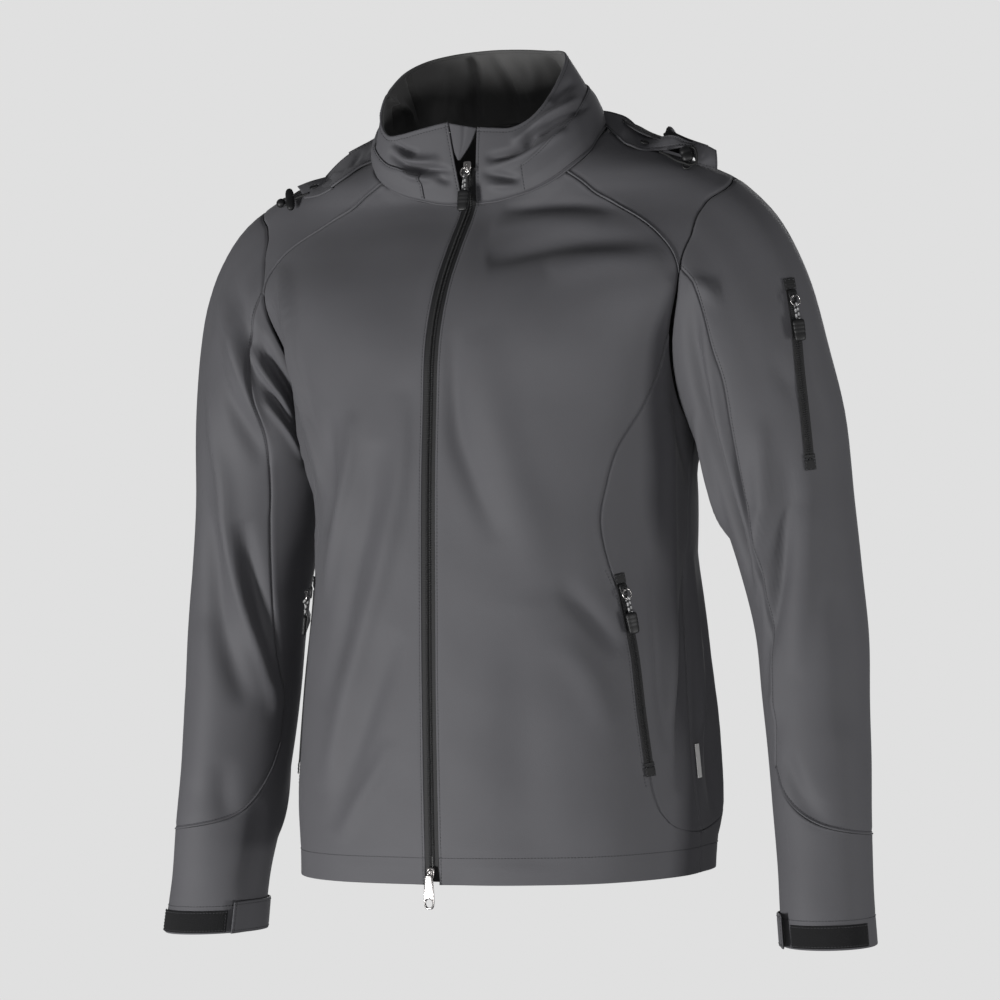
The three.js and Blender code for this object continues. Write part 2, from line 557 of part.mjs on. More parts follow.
// Rounded bar seen from the front: width, height, depth.
function pill(w, h, d, y, z, waist = 1) {
  const shape = new THREE.Shape();
  const n = 14;
  for (let i = 0; i <= n - 1; i++) {
    const t = (i / n) * 2 * Math.PI;
    const cx = Math.sign(Math.cos(t)) * Math.pow(Math.abs(Math.cos(t)), 0.55) * (w / 2);
    const cy = Math.sign(Math.sin(t)) * Math.pow(Math.abs(Math.sin(t)), 0.55) * (h / 2);
    const taper = waist + (1 - waist) * (0.5 + cy / h);
    if (i === 0) shape.moveTo(cx * taper, cy);
    else shape.lineTo(cx * taper, cy);
  }
  return solid(new THREE.ExtrudeGeometry(shape, { depth: d, bevelEnabled: false }).translate(0, y, z - d / 2));
}
// Pull of a zip, hanging along +y from the bail at the origin: wire ring, braided cord, rubber grip.
const PULL = { ring: 4.6, wire: 0.9, cord: 2.1, cordLength: 18, grip: [11, 20, 4.4] };
function pull(scale = 1) {
  const ringPart = solid(new THREE.TorusGeometry(PULL.ring, PULL.wire, 6, 14).translate(0, PULL.ring, 0));
  const cordStart = 2 * PULL.ring - 2.4;
  const length = PULL.cordLength * scale;
  const cordPart = solid(new THREE.CylinderGeometry(PULL.cord, PULL.cord, length, 8).translate(0, cordStart + length / 2, 0));
  const [w, h, d] = PULL.grip;
  const gripPart = pill(w, h, d, cordStart + length + h / 2 - 3, 0, 1.25);
  return ringPart.add(cordPart).add(gripPart);
}
// Where each pull turns, and about what: found from the frame that it is placed by.
const HINGES = {};
function hinge(name, p, a, flip) {
  const at = flip ? mirror(p) : p;
  HINGES[name] = { p: [at[0], at[1], settled(at[0], at[2])], axis: flip ? mirror(a).map((v) => -v) : a };
}
// Slider: body with a raised bail.
const sliderBody = () => box(8, 11, 2.4, 0, 0, 1.6).add(box(2, 7, 2.2, 0, 0.5, 3.4));

// Main zip: upper slider with its pull inside the collar opening, lower slider with a plain metal tab.
const SLIDER_RISE = 0.9;
function zipFrame(z, y, n) {
  const c = unit([0, n[1], n[2]]);
  const a = [-1, 0, 0];
  return { p: [0, y, z], a, b: unit(cross(c, a)), c };
}
const down = (f) => (f.b[2] < 0 ? f : { ...f, b: f.b.map((v) => -v) });
const topAt = collar(0, ZIP_TOP);
const upper = down(zipFrame(topAt[2] + 1, topAt[1] - SLIDER_RISE, [0, -1, 0]));
const hang = { b: unit([0, -9, -45]), c: unit([0, -45, 9]) };
place("main_slider", framed(sliderBody(), add(upper.p, upper.c, 0.3), upper.a, upper.b, upper.c), "metal");
hinge("main_pull", add(upper.p, upper.c, 5.9), upper.a, false);
place("main_pull", framed(pull(), add(upper.p, upper.c, 5.9), upper.a, hang.b, hang.c), "rubber");
const lowZ = -664;
const lowN = torsoNormal(0, lowZ);
const lower = down(zipFrame(lowZ, torso(0, lowZ)[1] - SLIDER_RISE, lowN));
place("bottom_slider", framed(sliderBody(), lower.p, lower.a, lower.b, lower.c), "metal");
const TAB = { w: 11, h: 31.6, d: 1.6, waist: 0.74, above: 0.6, eye: 3.9, eyeUp: 5.6 };
const eye = solid(
  new THREE.CylinderGeometry(TAB.eye, TAB.eye, 6, 16).rotateX(Math.PI / 2).translate(0, TAB.h - TAB.above - TAB.eyeUp, 0),
);
const tab = pill(TAB.w, TAB.h, TAB.d, TAB.h / 2 - TAB.above, 0, TAB.waist).subtract(eye);
hinge("bottom_pull", add(add(lower.p, lower.c, 5.7), lower.b, 2), lower.a, false);
place("bottom_pull", framed(tab, add(add(lower.p, lower.c, 5.7), lower.b, 2), lower.a, lower.b, lower.c), "metal");

// Pocket zips: a black strip on the seam with a slider and a pull at its top end.
const POCKET = [[59, -392], [61, -420], [64.5, -470], [66.5, -530], [67.6, -566]];
const SLEEVE_POCKET = [[22, 0.36], [27, 0.5], [32, 0.62], [36, 0.75], [39, 0.86]];
const STRIP = { half: 4.6, low: 0.4, high: 1.6 };
function pocket(prefix, suffix, line, surface, normal, at, flip) {
  const name = suffix ? "_" + suffix : "";
  place(prefix + "_zip" + name, ribbon(line, surface, normal, STRIP.half, STRIP.low, STRIP.high, flip), "black");
  const i = at;
  const p = surface(...line[i]);
  const c = normal(...line[i]);
  const b = unit(sub(surface(...line[i + 2]), p));
  const a = unit(cross(b, c));
  const out = unit(cross(a, b));
  const base = add(p, out, 1.8);
  place(prefix + "_slider" + name, framed(sliderBody(), base, a, b, out, flip), "metal");
  place(prefix + "_pull" + name, framed(pull(), add(base, out, 5.9), a, b, out, flip), "rubber");
  hinge(prefix + "_pull" + name, add(base, out, 5.9), a, flip);
}
const pocketLine = steps(POCKET, 12, torso);
pocket("pocket", "left", pocketLine, torso, torsoNormal, 1, false);
pocket("pocket", "right", pocketLine, torso, torsoNormal, 1, true);
pocket("sleeve_pocket", "", steps(SLEEVE_POCKET, 10, sleeve), sleeve, sleeveNormal, 1, false);

// Hood thrown back: a trough round the neck, shallow over the shoulders and deep down the back. Rows of angle,
// height and distance off the torso, from the tip on a shoulder to the middle of the back.
const HOOD = {
  left: {
    lip: [[88, -15, 11], [88, -3, 12], [88, 8, 13], [92, 19, 14], [118, 28, 5], [150, 30, 1.6], [180, 31, 1.9]],
    low: [[93, -19, 4], [97, -8, 4], [101, 0, 4], [110, -5, 4.5], [128, -50, 6], [150, -120, 8], [180, -150, 9]],
    fold: [[98, -20, 12], [104, -9, 16], [110, -4, 22], [118, -8, 33], [133, -20, 52], [155, -32, 64], [180, -38, 68]],
  },
  right: {
    lip: [[88, -15, 12], [88, -3, 15], [88, 8, 18], [92, 19, 18], [118, 28, 5], [150, 30, 1.6], [180, 31, 1.9]],
    low: [[93, -19, 4], [97, -8, 4], [101, 0, 4], [110, -5, 4.5], [128, -50, 6], [150, -120, 8], [180, -150, 9]],
    fold: [[98, -20, 13], [104, -9, 18], [110, -4, 25], [118, -8, 35], [133, -20, 52], [155, -32, 64], [180, -38, 68]],
  },
};
// Half way up each side of the trough: shares of the edge's height, and millimetres more.
const SLACK = { lip: 0.3, fold: 0.8, clear: 6 };
const offTorso = ([phi, z, h]) => add(torso(phi, z), torsoNormal(phi, z), h);
function hoodRows(k) {
  const right = k > 6;
  const rows = HOOD[right ? "right" : "left"];
  const t = right ? 12 - k : k;
  const [lip, low, fold] = [rows.lip, rows.low, rows.fold].map((r) => smooth(r, clamp(t, 0, 6)));
  const mid = (a, share) => [...mix(a, low, 0.5).slice(0, 2), low[2] + (a[2] - low[2]) * share + SLACK.clear];
  const all = [lip, mid(lip, SLACK.lip), low, mid(fold, SLACK.fold), fold].map(offTorso);
  return right ? all.map(mirror) : all;
}
const hood = (k, r) => smooth(hoodRows(k), r);
const hoodNormal = (k, r) => normalOf(hood, clamp(k, 0.02, 11.98), clamp(r, 0.02, 3.98), 0.02, 0.02).map((v) => -v);
const hoodStrip = (k0, k1, n, r0 = 0, r1 = 4, m = 6) =>
  Array.from({ length: m + 1 }, (_, i) =>
    Array.from({ length: n + 1 }, (_, j) => [k0 + ((k1 - k0) * j) / n, r0 + ((r1 - r0) * i) / m]),
  );
for (const [name, k0, k1, n] of [["hood_left", 0, 4.5, 9], ["hood_centre", 4.5, 7.5, 6], ["hood_right", 7.5, 12, 9]])
  panel(name, hoodStrip(k0, k1, n), hood, hoodNormal, { thick: () => LAYER });
for (const [name, k0, k1] of [["hood_brim_left", 0.05, 3.4], ["hood_brim_right", 8.6, 11.95]])
  panel(name, hoodStrip(k0, k1, 7, 0.02, 0.85, 2), hood, hoodNormal, { lift: GAP + LAYER + 0.6, thick: () => LAYER });

// Brim tabs past each tip, with the drawcord and its lock.
const TAB_LINE = [[90, -17.8], [90.5, -23], [91, -28]];
place("hood_tab_left", ribbon(TAB_LINE, torso, torsoNormal, 6.5, 5, 6.8, false), "shell");
place("hood_tab_right", ribbon(TAB_LINE, torso, torsoNormal, 6.5, 5, 6.8, true), "shell");
function cord(points, radius) {
  const curve = new THREE.CatmullRomCurve3(points.map((p) => new THREE.Vector3(...p)));
  const ringShape = new THREE.Shape();
  for (let i = 0; i < 7; i++) {
    const t = (i / 7) * 2 * Math.PI;
    if (i === 0) ringShape.moveTo(radius, 0);
    else ringShape.lineTo(radius * Math.cos(t), radius * Math.sin(t));
  }
  return new THREE.ExtrudeGeometry(ringShape, { steps: 18, bevelEnabled: false, extrudePath: curve });
}
const CORDS = {
  left: { at: [82, -19, 8], through: [[91, -24, 8.6], [89, -27, 13], [86, -26, 14], [83, -23, 13]] },
  right: { at: [83, -33, 8], through: [[91, -24, 8.6], [89, -29, 11], [86, -33, 14], [84, -31, 15]] },
};
const CORD_RADIUS = 1.4;
const LOCK = [8.5, 17, 7];
for (const [suffix, flip] of [["left", false], ["right", true]]) {
  const { at, through } = CORDS[suffix];
  const turn = flip ? mirror : (p) => p;
  const p = offTorso(at);
  const c = torsoNormal(at[0], at[1]);
  const b = unit(cross(c, [0, 1, 0]));
  const a = unit(cross(b, c));
  place("cord_lock_" + suffix, framed(pill(LOCK[0], LOCK[1], LOCK[2], 0, 0), p, a, b, c, flip), "rubber");
  const end = add(p, c, LOCK[2] / 2 + CORD_RADIUS + GAP);
  place("drawcord_" + suffix, cord([...through.map(offTorso), end].map(turn), CORD_RADIUS), "black");
}

// Blank label in the wearer's left side seam.
place("side_label", ribbon([[87.8, -552], [88, -567], [88.3, -584]], torso, torsoNormal, 4, 0.5, 1.1, false), "label");

// Cuffs: loop patch round the outside, and the strap that comes round from the inside over its end.
const PATCH = { left: [14, 118], right: [33, 136] };
const STRAP = { left: [121, 214], right: [139, 232] };
const band = (from, to, n, s0, s1) =>
  [0, 1, 2].map((i) => Array.from({ length: n + 1 }, (_, j) => [from + ((to - from) * j) / n, s0 + ((s1 - s0) * i) / 2]));
for (const [suffix, flip] of [["left", false], ["right", true]]) {
  panel("cuff_patch_" + suffix, band(...PATCH[suffix], 9, CUFF - 0.46, CUFF - 0.03), sleeve, sleeveNormal,
    { flip, lift: 1.6, thick: () => 1.2, kind: "black" });
  const [from, to] = STRAP[suffix];
  const flare = (psi) => 3.4 + 6 * clamp((from + 22 - psi) / 22, 0, 1);
  const strap = band(from, to, 8, CUFF - 0.64, CUFF - 0.01);
  const off = (psi, s) => add(sleeve(psi, s), sleeveNormal(psi, s), flare(psi));
  panel("cuff_strap_" + suffix, strap, off, sleeveNormal, { flip, thick: () => 2.4 });
}

export default group;
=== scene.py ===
"""Softshell jacket, worn and filled out with no wearer: cloth, sewing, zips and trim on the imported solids.

Every surface is worked out from the same sizes as the solids, in millimetres. Each piece takes the place of
the solid whose form it follows. +Z is up, the front faces -Y and the wearer's left is +X.
"""

from __future__ import annotations

import logging
import math
from dataclasses import dataclass, field
from enum import Enum
from typing import Callable, Sequence

import bpy
import numpy as np
from mathutils import Matrix, Vector

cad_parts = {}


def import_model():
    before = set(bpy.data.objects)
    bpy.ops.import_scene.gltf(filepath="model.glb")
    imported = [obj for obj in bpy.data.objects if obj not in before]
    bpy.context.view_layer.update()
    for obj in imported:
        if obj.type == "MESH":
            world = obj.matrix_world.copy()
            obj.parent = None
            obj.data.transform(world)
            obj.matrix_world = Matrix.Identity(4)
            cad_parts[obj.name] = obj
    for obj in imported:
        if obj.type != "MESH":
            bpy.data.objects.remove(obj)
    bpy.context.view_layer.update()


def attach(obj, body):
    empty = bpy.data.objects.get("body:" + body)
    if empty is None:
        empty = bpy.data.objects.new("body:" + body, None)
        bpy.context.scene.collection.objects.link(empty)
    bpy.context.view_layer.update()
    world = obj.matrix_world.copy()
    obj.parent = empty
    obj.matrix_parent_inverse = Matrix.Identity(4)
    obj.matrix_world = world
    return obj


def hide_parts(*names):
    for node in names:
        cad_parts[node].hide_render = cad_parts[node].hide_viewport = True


LOG = logging.getLogger("jacket")
Array = np.ndarray
MM = 0.001

# Torso rings: height, half width, side depth line, front depth, back depth, squareness.
TORSO = np.array([
    [-675, 200, -2, -154, 145, 2.4], [-600, 203, 3, -155, 141, 2.35], [-500, 195, 6, -155, 134, 2.3],
    [-400, 185, 16, -153, 131, 2.3], [-310, 185, 18, -150, 134, 2.4], [-240, 192, 8, -145, 139, 2.6],
    [-175, 208, 0, -138, 141, 2.8], [-125, 236, -3, -119, 137, 2.8], [-85, 250, -3, -91, 128, 2.6],
    [-58, 256, -3, -68, 114, 2.4], [-42, 254, -3, -58, 105, 2.3], [-29, 240, -1, -56, 99, 2.2],
    [-17, 213, 0, -54, 94, 2.2], [-5, 177, 4, -50, 90, 2.1], [6, 145, 10, -44, 87, 2],
    [18, 118, 16, -36, 84, 2],
    [28, 101, 20, -26, 80, 2], [42, 86, 24, -14, 74, 2],
], float)
# Sleeve rings: height, centre x and y, short and long half axes, turn of the long axis.
SLEEVE = np.array([
    [-330, 282, 28, 64, 64, 27.5], [-390, 294, 32, 57, 60, 27.5], [-450, 303, 34, 53, 60, 27.5],
    [-512, 308, 32, 50, 58.5, 27.5], [-570, 313, 28, 48, 58, 27.5], [-630, 319, 20, 45, 55, 27.5],
    [-690, 325, 11, 44, 50.5, 27.5], [-740, 330, 7, 44, 51, 27.5],
], float)
CUFF = float(len(SLEEVE))

# Seams of the torso: angle from the middle front, height.
NECKLINE = [[7.4, -44], [20, -44], [35, -41], [49, -36], [58, -27], [64, -15.5], [67.6, -8], [77, 13],
            [88, 24], [105, 32], [140, 36], [180, 37]]
YOKE_SEAM = [[63, -17.5], [66.5, -29], [70, -45], [71.5, -60], [72.5, -80], [73.5, -100], [74, -120]]
ARMHOLE = np.array([[93, -31], [83.5, -50], [77.5, -86], [74, -120], [75, -165], [79, -208], [87, -243],
                    [98, -258], [109, -238], [113.5, -195], [113, -145], [108, -95], [100, -54]], float)
PRINCESS = [[73.5, -205], [68, -240], [58.5, -280], [54, -320], [53, -350], [56, -385], [61, -420],
            [64.5, -470], [66.5, -530], [68, -580], [70.5, -607], [75, -623]]
PRINCESS_TURN = [[75, -623], [79, -629.5], [84, -633], [90, -634]]
SIDE_SEAM = [[98, -258], [94, -290], [91, -350], [90.5, -410], [88.5, -470], [86, -530], [86, -590],
             [90, -634]]
SIDE_LOW = [[90, -634], [91.5, -675]]
BACK_PRINCESS = [[116, -240], [119, -290], [121, -350], [120, -420], [117, -500], [112, -570], [108, -605],
                 [104, -623]]
BACK_TURN = [[90, -634], [95, -632.5], [100, -628.5], [104, -623]]
SHOULDER_SEAM = [[93, 27], [93, 10], [93, -10], [93, -31]]

# Sleeve seams: angle round the sleeve (0 outwards, 90 forwards), place along it (0 armhole, 1 first ring).
SEAM_FRONT = {
    "left": [[79, 0], [78, .1], [84, .22], [89, .34], [90, .48], [95, .68], [99, 1], [101, 1.6], [108, 2.4],
             [112, 3.2], [117, 4.2], [125, 5.05]],
    "right": [[81, 0], [89, .1], [98, .22], [106, .34], [116, .45], [123, .6], [128, 1], [134, 1.6],
              [145, 2.5], [159, 3.4], [170, 4], [172, 4.75]],
}
SEAM_FOREARM = {
    "left": [[125, 5.05], [116, 5.42], [98, 5.72], [73, 5.92], [43, 6.04], [7, 6.12], [-50, 6.2],
             [-105, 6.3]],
    "right": [[172, 4.75], [163, 5.27], [147, 5.71], [127, 5.95], [80, 6.1], [7, 6.2], [-50, 6.25],
              [-105, 6.3]],
}
SEAM_BACK = [[-81, 0], [-90, .5], [-95, 1], [-99, 2], [-102, 3.2], [-104, 4.6], [-105, 6.3]]
SEAM_CLOSE = [[-105, 6.3], [-105, CUFF]]

# Collar edge from the zip round the wearer's left side and the back to the zip again: x, y, z.
RIM = [[7, -55, 29], [24, -52, 27.5], [40, -49, 27], [54, -44, 33], [63, -38, 42], [69, -27, 56],
       [72, -14, 71], [72, 1, 86], [67, 15, 96], [55, 29, 101], [35, 42, 103], [8, 50, 106],
       [-26, 49, 108], [-50, 41, 107], [-67, 27, 104], [-82, 8, 98], [-92, -13, 88], [-98, -30, 74],
       [-100, -43, 60], [-97, -53, 42], [-89, -59, 28], [-74, -63, 26], [-55, -64, 29], [-38, -64, 32], [-20, -63, 35]]
FULLNESS = [2, 3, 3, 3, 3, 3, 4, 6, 7, 7, 6, 5, 4, 3, 3, 2, 1]
# Hood rows from the tip on a shoulder to the middle of the back: angle, height, distance off the torso.
HOOD_LIP_BACK = [[118, 28, 5], [150, 30, 1.6], [180, 31, 1.9]]
HOOD_FOLD_BACK = [[133, -20, 52], [155, -32, 64], [180, -38, 68]]
HOOD_LOW = [[93, -19, 4], [97, -8, 4], [101, 0, 4], [110, -5, 4.5], [128, -50, 6], [150, -120, 8],
            [180, -150, 9]]
HOOD = {
    "left": {
        "lip": [[88, -15, 11], [88, -3, 12], [88, 8, 13], [92, 19, 14], *HOOD_LIP_BACK],
        "low": HOOD_LOW,
        "fold": [[98, -20, 12], [104, -9, 16], [110, -4, 22], [118, -8, 33], *HOOD_FOLD_BACK],
    },
    "right": {
        "lip": [[88, -15, 12], [88, -3, 15], [88, 8, 18], [92, 19, 18], *HOOD_LIP_BACK],
        "low": HOOD_LOW,
        "fold": [[98, -20, 13], [104, -9, 18], [110, -4, 25], [118, -8, 35], *HOOD_FOLD_BACK],
    },
}
SLACK_LIP, SLACK_FOLD, SLACK_CLEAR = 0.3, 0.8, 6.0
TAPE_HALF = 7.0
HEM, ZIP_TOP = -675, -44  # heights
FINE = 5  # visual steps for each step of the solid


def smooth(rows: Array, t: Array, closed: bool = False) -> Array:
    """Reads a smooth curve through evenly spaced rows.

    Args:
        rows: the rows, one apart.
        t: places along the rows.
        closed: whether the last row joins the first.

    Returns:
        One row of values for each place.
    """
    rows = np.asarray(rows, float)
    t = np.asarray(t, float)
    flat = t.ravel()
    n = len(rows)
    i = np.floor(flat).astype(int)
    if closed:
        a, b, c, d = (rows[(i + k) % n] for k in (-1, 0, 1, 2))
    else:
        i = np.clip(i, 0, n - 2)
        wide = np.vstack([2 * rows[0] - rows[1], rows, 2 * rows[-1] - rows[-2]])
        a, b, c, d = (wide[i + k] for k in range(4))
    f = (flat - i)[:, None]
    out = 0.5 * (2 * b + (c - a) * f + (2 * a - 5 * b + 4 * c - d) * f**2 + (3 * b - a - 3 * c + d) * f**3)
    return out.reshape(t.shape + (rows.shape[1],))


def unit(v: Array) -> Array:
    """Scales vectors to length one.

    Args:
        v: vectors along the last axis.

    Returns:
        The same directions with length one.
    """
    return v / np.maximum(np.linalg.norm(v, axis=-1, keepdims=True), 1e-9)


def ramp(x: Array, low: float, high: float) -> Array:
    """Soft step from 0 at low to 1 at high.

    Args:
        x: values.
        low: where the step starts.
        high: where the step ends.

    Returns:
        The step's height at each value.
    """
    t = np.clip((x - low) / (high - low), 0, 1)
    return t * t * (3 - 2 * t)


class Surface:
    """A smooth surface that gives a point for each pair of numbers."""

    STEP = (0.4, 1.2)
    LIMITS = ((-1e9, 1e9), (-1e9, 1e9))
    SIGN = 1.0

    def point(self, a: Array, b: Array) -> Array:
        """Finds points on the surface.

        Args:
            a: first numbers.
            b: second numbers.

        Returns:
            Points in millimetres.
        """
        raise NotImplementedError

    def normal(self, a: Array, b: Array) -> Array:
        """Finds the directions that point out of the surface.

        Args:
            a: first numbers.
            b: second numbers.

        Returns:
            Unit vectors.
        """
        (a0, a1), (b0, b1) = self.LIMITS
        a, b = np.clip(a, a0, a1), np.clip(b, b0, b1)
        da, db = self.STEP
        across = self.point(a + da, b) - self.point(a - da, b)
        along = self.point(a, b + db) - self.point(a, b - db)
        return unit(np.cross(across, along)) * self.SIGN


class Torso(Surface):
    """The body of the jacket, by angle from the middle front and height."""

    def rows(self, z: Array) -> Array:
        """Reads the ring sizes at each height.

        Args:
            z: heights.

        Returns:
            Ring sizes.
        """
        i = np.clip(np.searchsorted(TORSO[1:, 0], z, side="left"), 0, len(TORSO) - 2)
        return smooth(TORSO, i + (z - TORSO[i, 0]) / (TORSO[i + 1, 0] - TORSO[i, 0]))

    def point(self, a: Array, b: Array) -> Array:
        """See Surface.point."""
        h, w, yc, yf, yb, n = np.moveaxis(self.rows(np.asarray(b, float)), -1, 0)
        s, c = np.sin(np.radians(a)), np.cos(np.radians(a))
        depth = np.where(c > 0, yc - yf, yb - yc)
        r = ((np.abs(c) / depth) ** n + (np.abs(s) / w) ** n) ** (-1 / n)
        return np.stack([r * s, yc - r * c, h], -1)

    def front_angle(self, x: float, z: float) -> float:
        """Finds the angle of a point on the front at a given distance from the middle.

        Args:
            x: distance from the middle line.
            z: height.

        Returns:
            The angle in degrees.
        """
        _, _, yc, yf, _, _ = self.rows(np.array(float(z)))
        return math.degrees(math.atan2(x, yc - yf))


class Sleeve(Surface):
    """The wearer's-left sleeve, by angle round it and place along it."""

    STEP = (0.5, 0.01)
    LIMITS = ((-1e9, 1e9), (0.02, CUFF - 0.01))

    def __init__(self, torso: Torso) -> None:
        """Keeps the torso that the sleeve is sewn to.

        Args:
            torso: the body of the jacket.
        """
        self.torso = torso

    def ring(self, psi: Array, k: Array) -> Array:
        """Finds points on the sleeve's rings.

        Args:
            psi: angles round the sleeve.
            k: ring numbers.

        Returns:
            Points in millimetres.
        """
        z, cx, cy, p, q, turn = np.moveaxis(smooth(SLEEVE, k), -1, 0)
        r, g = np.radians(turn), np.radians(psi)
        u, v = p * np.cos(g + r), -q * np.sin(g + r)
        return np.stack([cx + u * np.cos(r) - v * np.sin(r), cy + u * np.sin(r) + v * np.cos(r), z], -1)

    def armhole(self, psi: Array) -> tuple[Array, Array]:
        """Finds the armhole seam.

        Args:
            psi: angles round the sleeve.

        Returns:
            Points on the seam and the torso's directions there.
        """
        at = smooth(ARMHOLE, psi / 360 * len(ARMHOLE), True)
        return self.torso.point(at[..., 0], at[..., 1]), self.torso.normal(at[..., 0], at[..., 1])

    def point(self, a: Array, b: Array) -> Array:
        """See Surface.point."""
        a, b = np.broadcast_arrays(np.asarray(a, float), np.asarray(b, float))
        low = self.ring(a, np.maximum(b, 1) - 1)
        seam, out = self.armhole(a)
        c, s = np.cos(np.radians(a)), np.sin(np.radians(a))
        start = seam + out * (0.3 + 1.1 * np.clip(0.4 - c, 0, 1))[..., None]
        end = self.ring(a, np.zeros_like(a))
        reach = np.linalg.norm(end - start, axis=-1, keepdims=True)
        leave = unit(np.stack([0.62 + 0.3 * c, -0.22 * s, -0.55 - 0.15 * (1 - c)], -1)) * reach
        less = np.clip(0.9 - np.abs(c - 0.45), 0, 1) * np.clip(1.9 - 2 * c, 0, 1)
        leave = leave * (1.05 - 0.09 * less)[..., None]
        meet = unit(self.ring(a, np.full_like(a, 0.01)) - end) * reach
        t = np.clip(b, 0, 1)[..., None]
        high = ((2 * t**3 - 3 * t**2 + 1) * start + (t**3 - 2 * t**2 + t) * leave
                + (3 * t**2 - 2 * t**3) * end
                + (t**3 - t**2) * meet)
        flat = (15 * ramp(c, -0.3, 0.6) * ramp(-s, -0.3, 0.7))[..., None]
        high = high - flat * 28.9 * t**2 * (1 - t) ** 3 * np.stack([c, -s, 0 * c], -1)
        return np.where((b >= 1)[..., None], low, high)

    def normal(self, a: Array, b: Array) -> Array:
        """See Surface.normal; over the shoulder it starts square to the torso."""
        a, b = np.broadcast_arrays(np.asarray(a, float), np.asarray(b, float))
        own = super().normal(a, b)
        over = np.clip(0.5 + 1.2 * np.cos(np.radians(a)), 0, 1)
        w = (1 - over * (1 - ramp(b, 0, 0.25)))[..., None]
        return unit(self.armhole(a)[1] * (1 - w) + own * w)


class Collar(Surface):
    """The stand collar, by place round it from the wearer's-left zip edge and share of its height."""

    STEP = (0.05, 0.03)
    STEPS = 30
    LIMITS = ((0.05, 29.95), (0.03, 0.97))

    def __init__(self, torso: Torso) -> None:
        """Lays out the collar's base and rim.

        Args:
            torso: the body that the collar stands on.
        """
        right = [[torso.front_angle(TAPE_HALF, ZIP_TOP), ZIP_TOP], *NECKLINE[1:]]
        full = right + [[360 - a, z] for a, z in right[-2::-1]]
        at = steps(full, self.STEPS, torso)
        self.base = torso.point(at[:, 0], at[:, 1]) + [0, 0, 0.9]
        self.rim = steps(RIM, self.STEPS)

    def point(self, a: Array, b: Array) -> Array:
        """See Surface.point."""
        a, b = np.broadcast_arrays(np.asarray(a, float), np.asarray(b, float))
        base, rim = smooth(self.base, a), smooth(self.rim, a)
        along = smooth(self.base, np.minimum(a + 0.2, self.STEPS)) - smooth(self.base, np.maximum(a - 0.2, 0))
        out = unit(np.stack([along[..., 1], -along[..., 0], np.zeros_like(a)], -1))
        full = smooth(np.array(FULLNESS, float)[:, None], a / self.STEPS * (len(FULLNESS) - 1))
        swell = np.sin(np.pi * np.clip(b, 0, 1) ** 0.8)[..., None]
        return base + (rim - base) * b[..., None] + out * full * swell


class Hood(Surface):
    """The hood thrown back, by place from the wearer's left tip to the right one and across its trough."""

    STEP = (0.02, 0.02)
    LIMITS = ((0.02, 11.98), (0.02, 3.98))
    SIGN = -1.0

    def __init__(self, torso: Torso) -> None:
        """Keeps the torso that the hood lies on.

        Args:
            torso: the body of the jacket.
        """
        self.torso = torso

    def point(self, a: Array, b: Array) -> Array:
        """See Surface.point."""
        a, b = np.broadcast_arrays(np.asarray(a, float), np.asarray(b, float))
        right = (a > 6)[..., None]
        t = np.clip(np.where(a > 6, 12 - a, a), 0, 6)
        row = {k: np.where(right, smooth(HOOD["right"][k], t), smooth(HOOD["left"][k], t))
               for k in ("lip", "low", "fold")}
        control = []
        for edge, share in (("lip", None), ("lip", SLACK_LIP), ("low", None), ("fold", SLACK_FOLD),
                            ("fold", None)):
            at = row[edge]
            if share is not None:
                half = (at + row["low"]) / 2
                rise = row["low"][..., 2] + (at[..., 2] - row["low"][..., 2]) * share + SLACK_CLEAR
                at = np.concatenate([half[..., :2], rise[..., None]], -1)
            phi, z, h = np.moveaxis(at, -1, 0)
            p = self.torso.point(phi, z) + self.torso.normal(phi, z) * h[..., None]
            control.append(p * np.where(right, [-1, 1, 1], [1, 1, 1]))
        wide = [2 * control[0] - control[1], *control, 2 * control[4] - control[3]]
        wide = np.stack(wide)
        i = np.clip(np.floor(b).astype(int), 0, 3)
        f = (b - i)[..., None]
        p, q, r, s = (np.take_along_axis(wide, (i + k)[None, ..., None], 0)[0] for k in range(4))
        return 0.5 * (2 * q + (r - p) * f + (2 * p - 5 * q + 4 * r - s) * f**2
                      + (3 * q - p - 3 * r + s) * f**3)


def steps(rows: Sequence, n: int, surface: Surface | None = None) -> Array:
    """Cuts a smooth curve into steps of even true length.

    Args:
        rows: points of the curve, or pairs of numbers on a surface.
        n: number of steps.
        surface: the surface that the pairs lie on.

    Returns:
        The n + 1 points or pairs at the ends of the steps.
    """
    rows = np.asarray(rows, float)
    fine = max(24, 4 * n) * (len(rows) - 1)
    pts = smooth(rows, np.linspace(0, len(rows) - 1, fine + 1))
    real = surface.point(pts[:, 0], pts[:, 1]) if surface else pts
    run = run_of(real)
    goal = np.linspace(0, run[-1], n + 1)
    return np.stack([np.interp(goal, run, pts[:, k]) for k in range(pts.shape[1])], -1)


def run_of(line: Array) -> Array:
    """Measures how far each point of a line lies from its start.

    Args:
        line: points of the line.

    Returns:
        The distances along it.
    """
    return np.concatenate([[0], np.cumsum(np.linalg.norm(np.diff(line, axis=0), axis=1))])


def joined(*parts: Array) -> Array:
    """Joins edges end to end.

    Args:
        parts: edges, each starting where the last one ends.

    Returns:
        One edge.
    """
    return np.concatenate([parts[0], *[p[1:] for p in parts[1:]]])


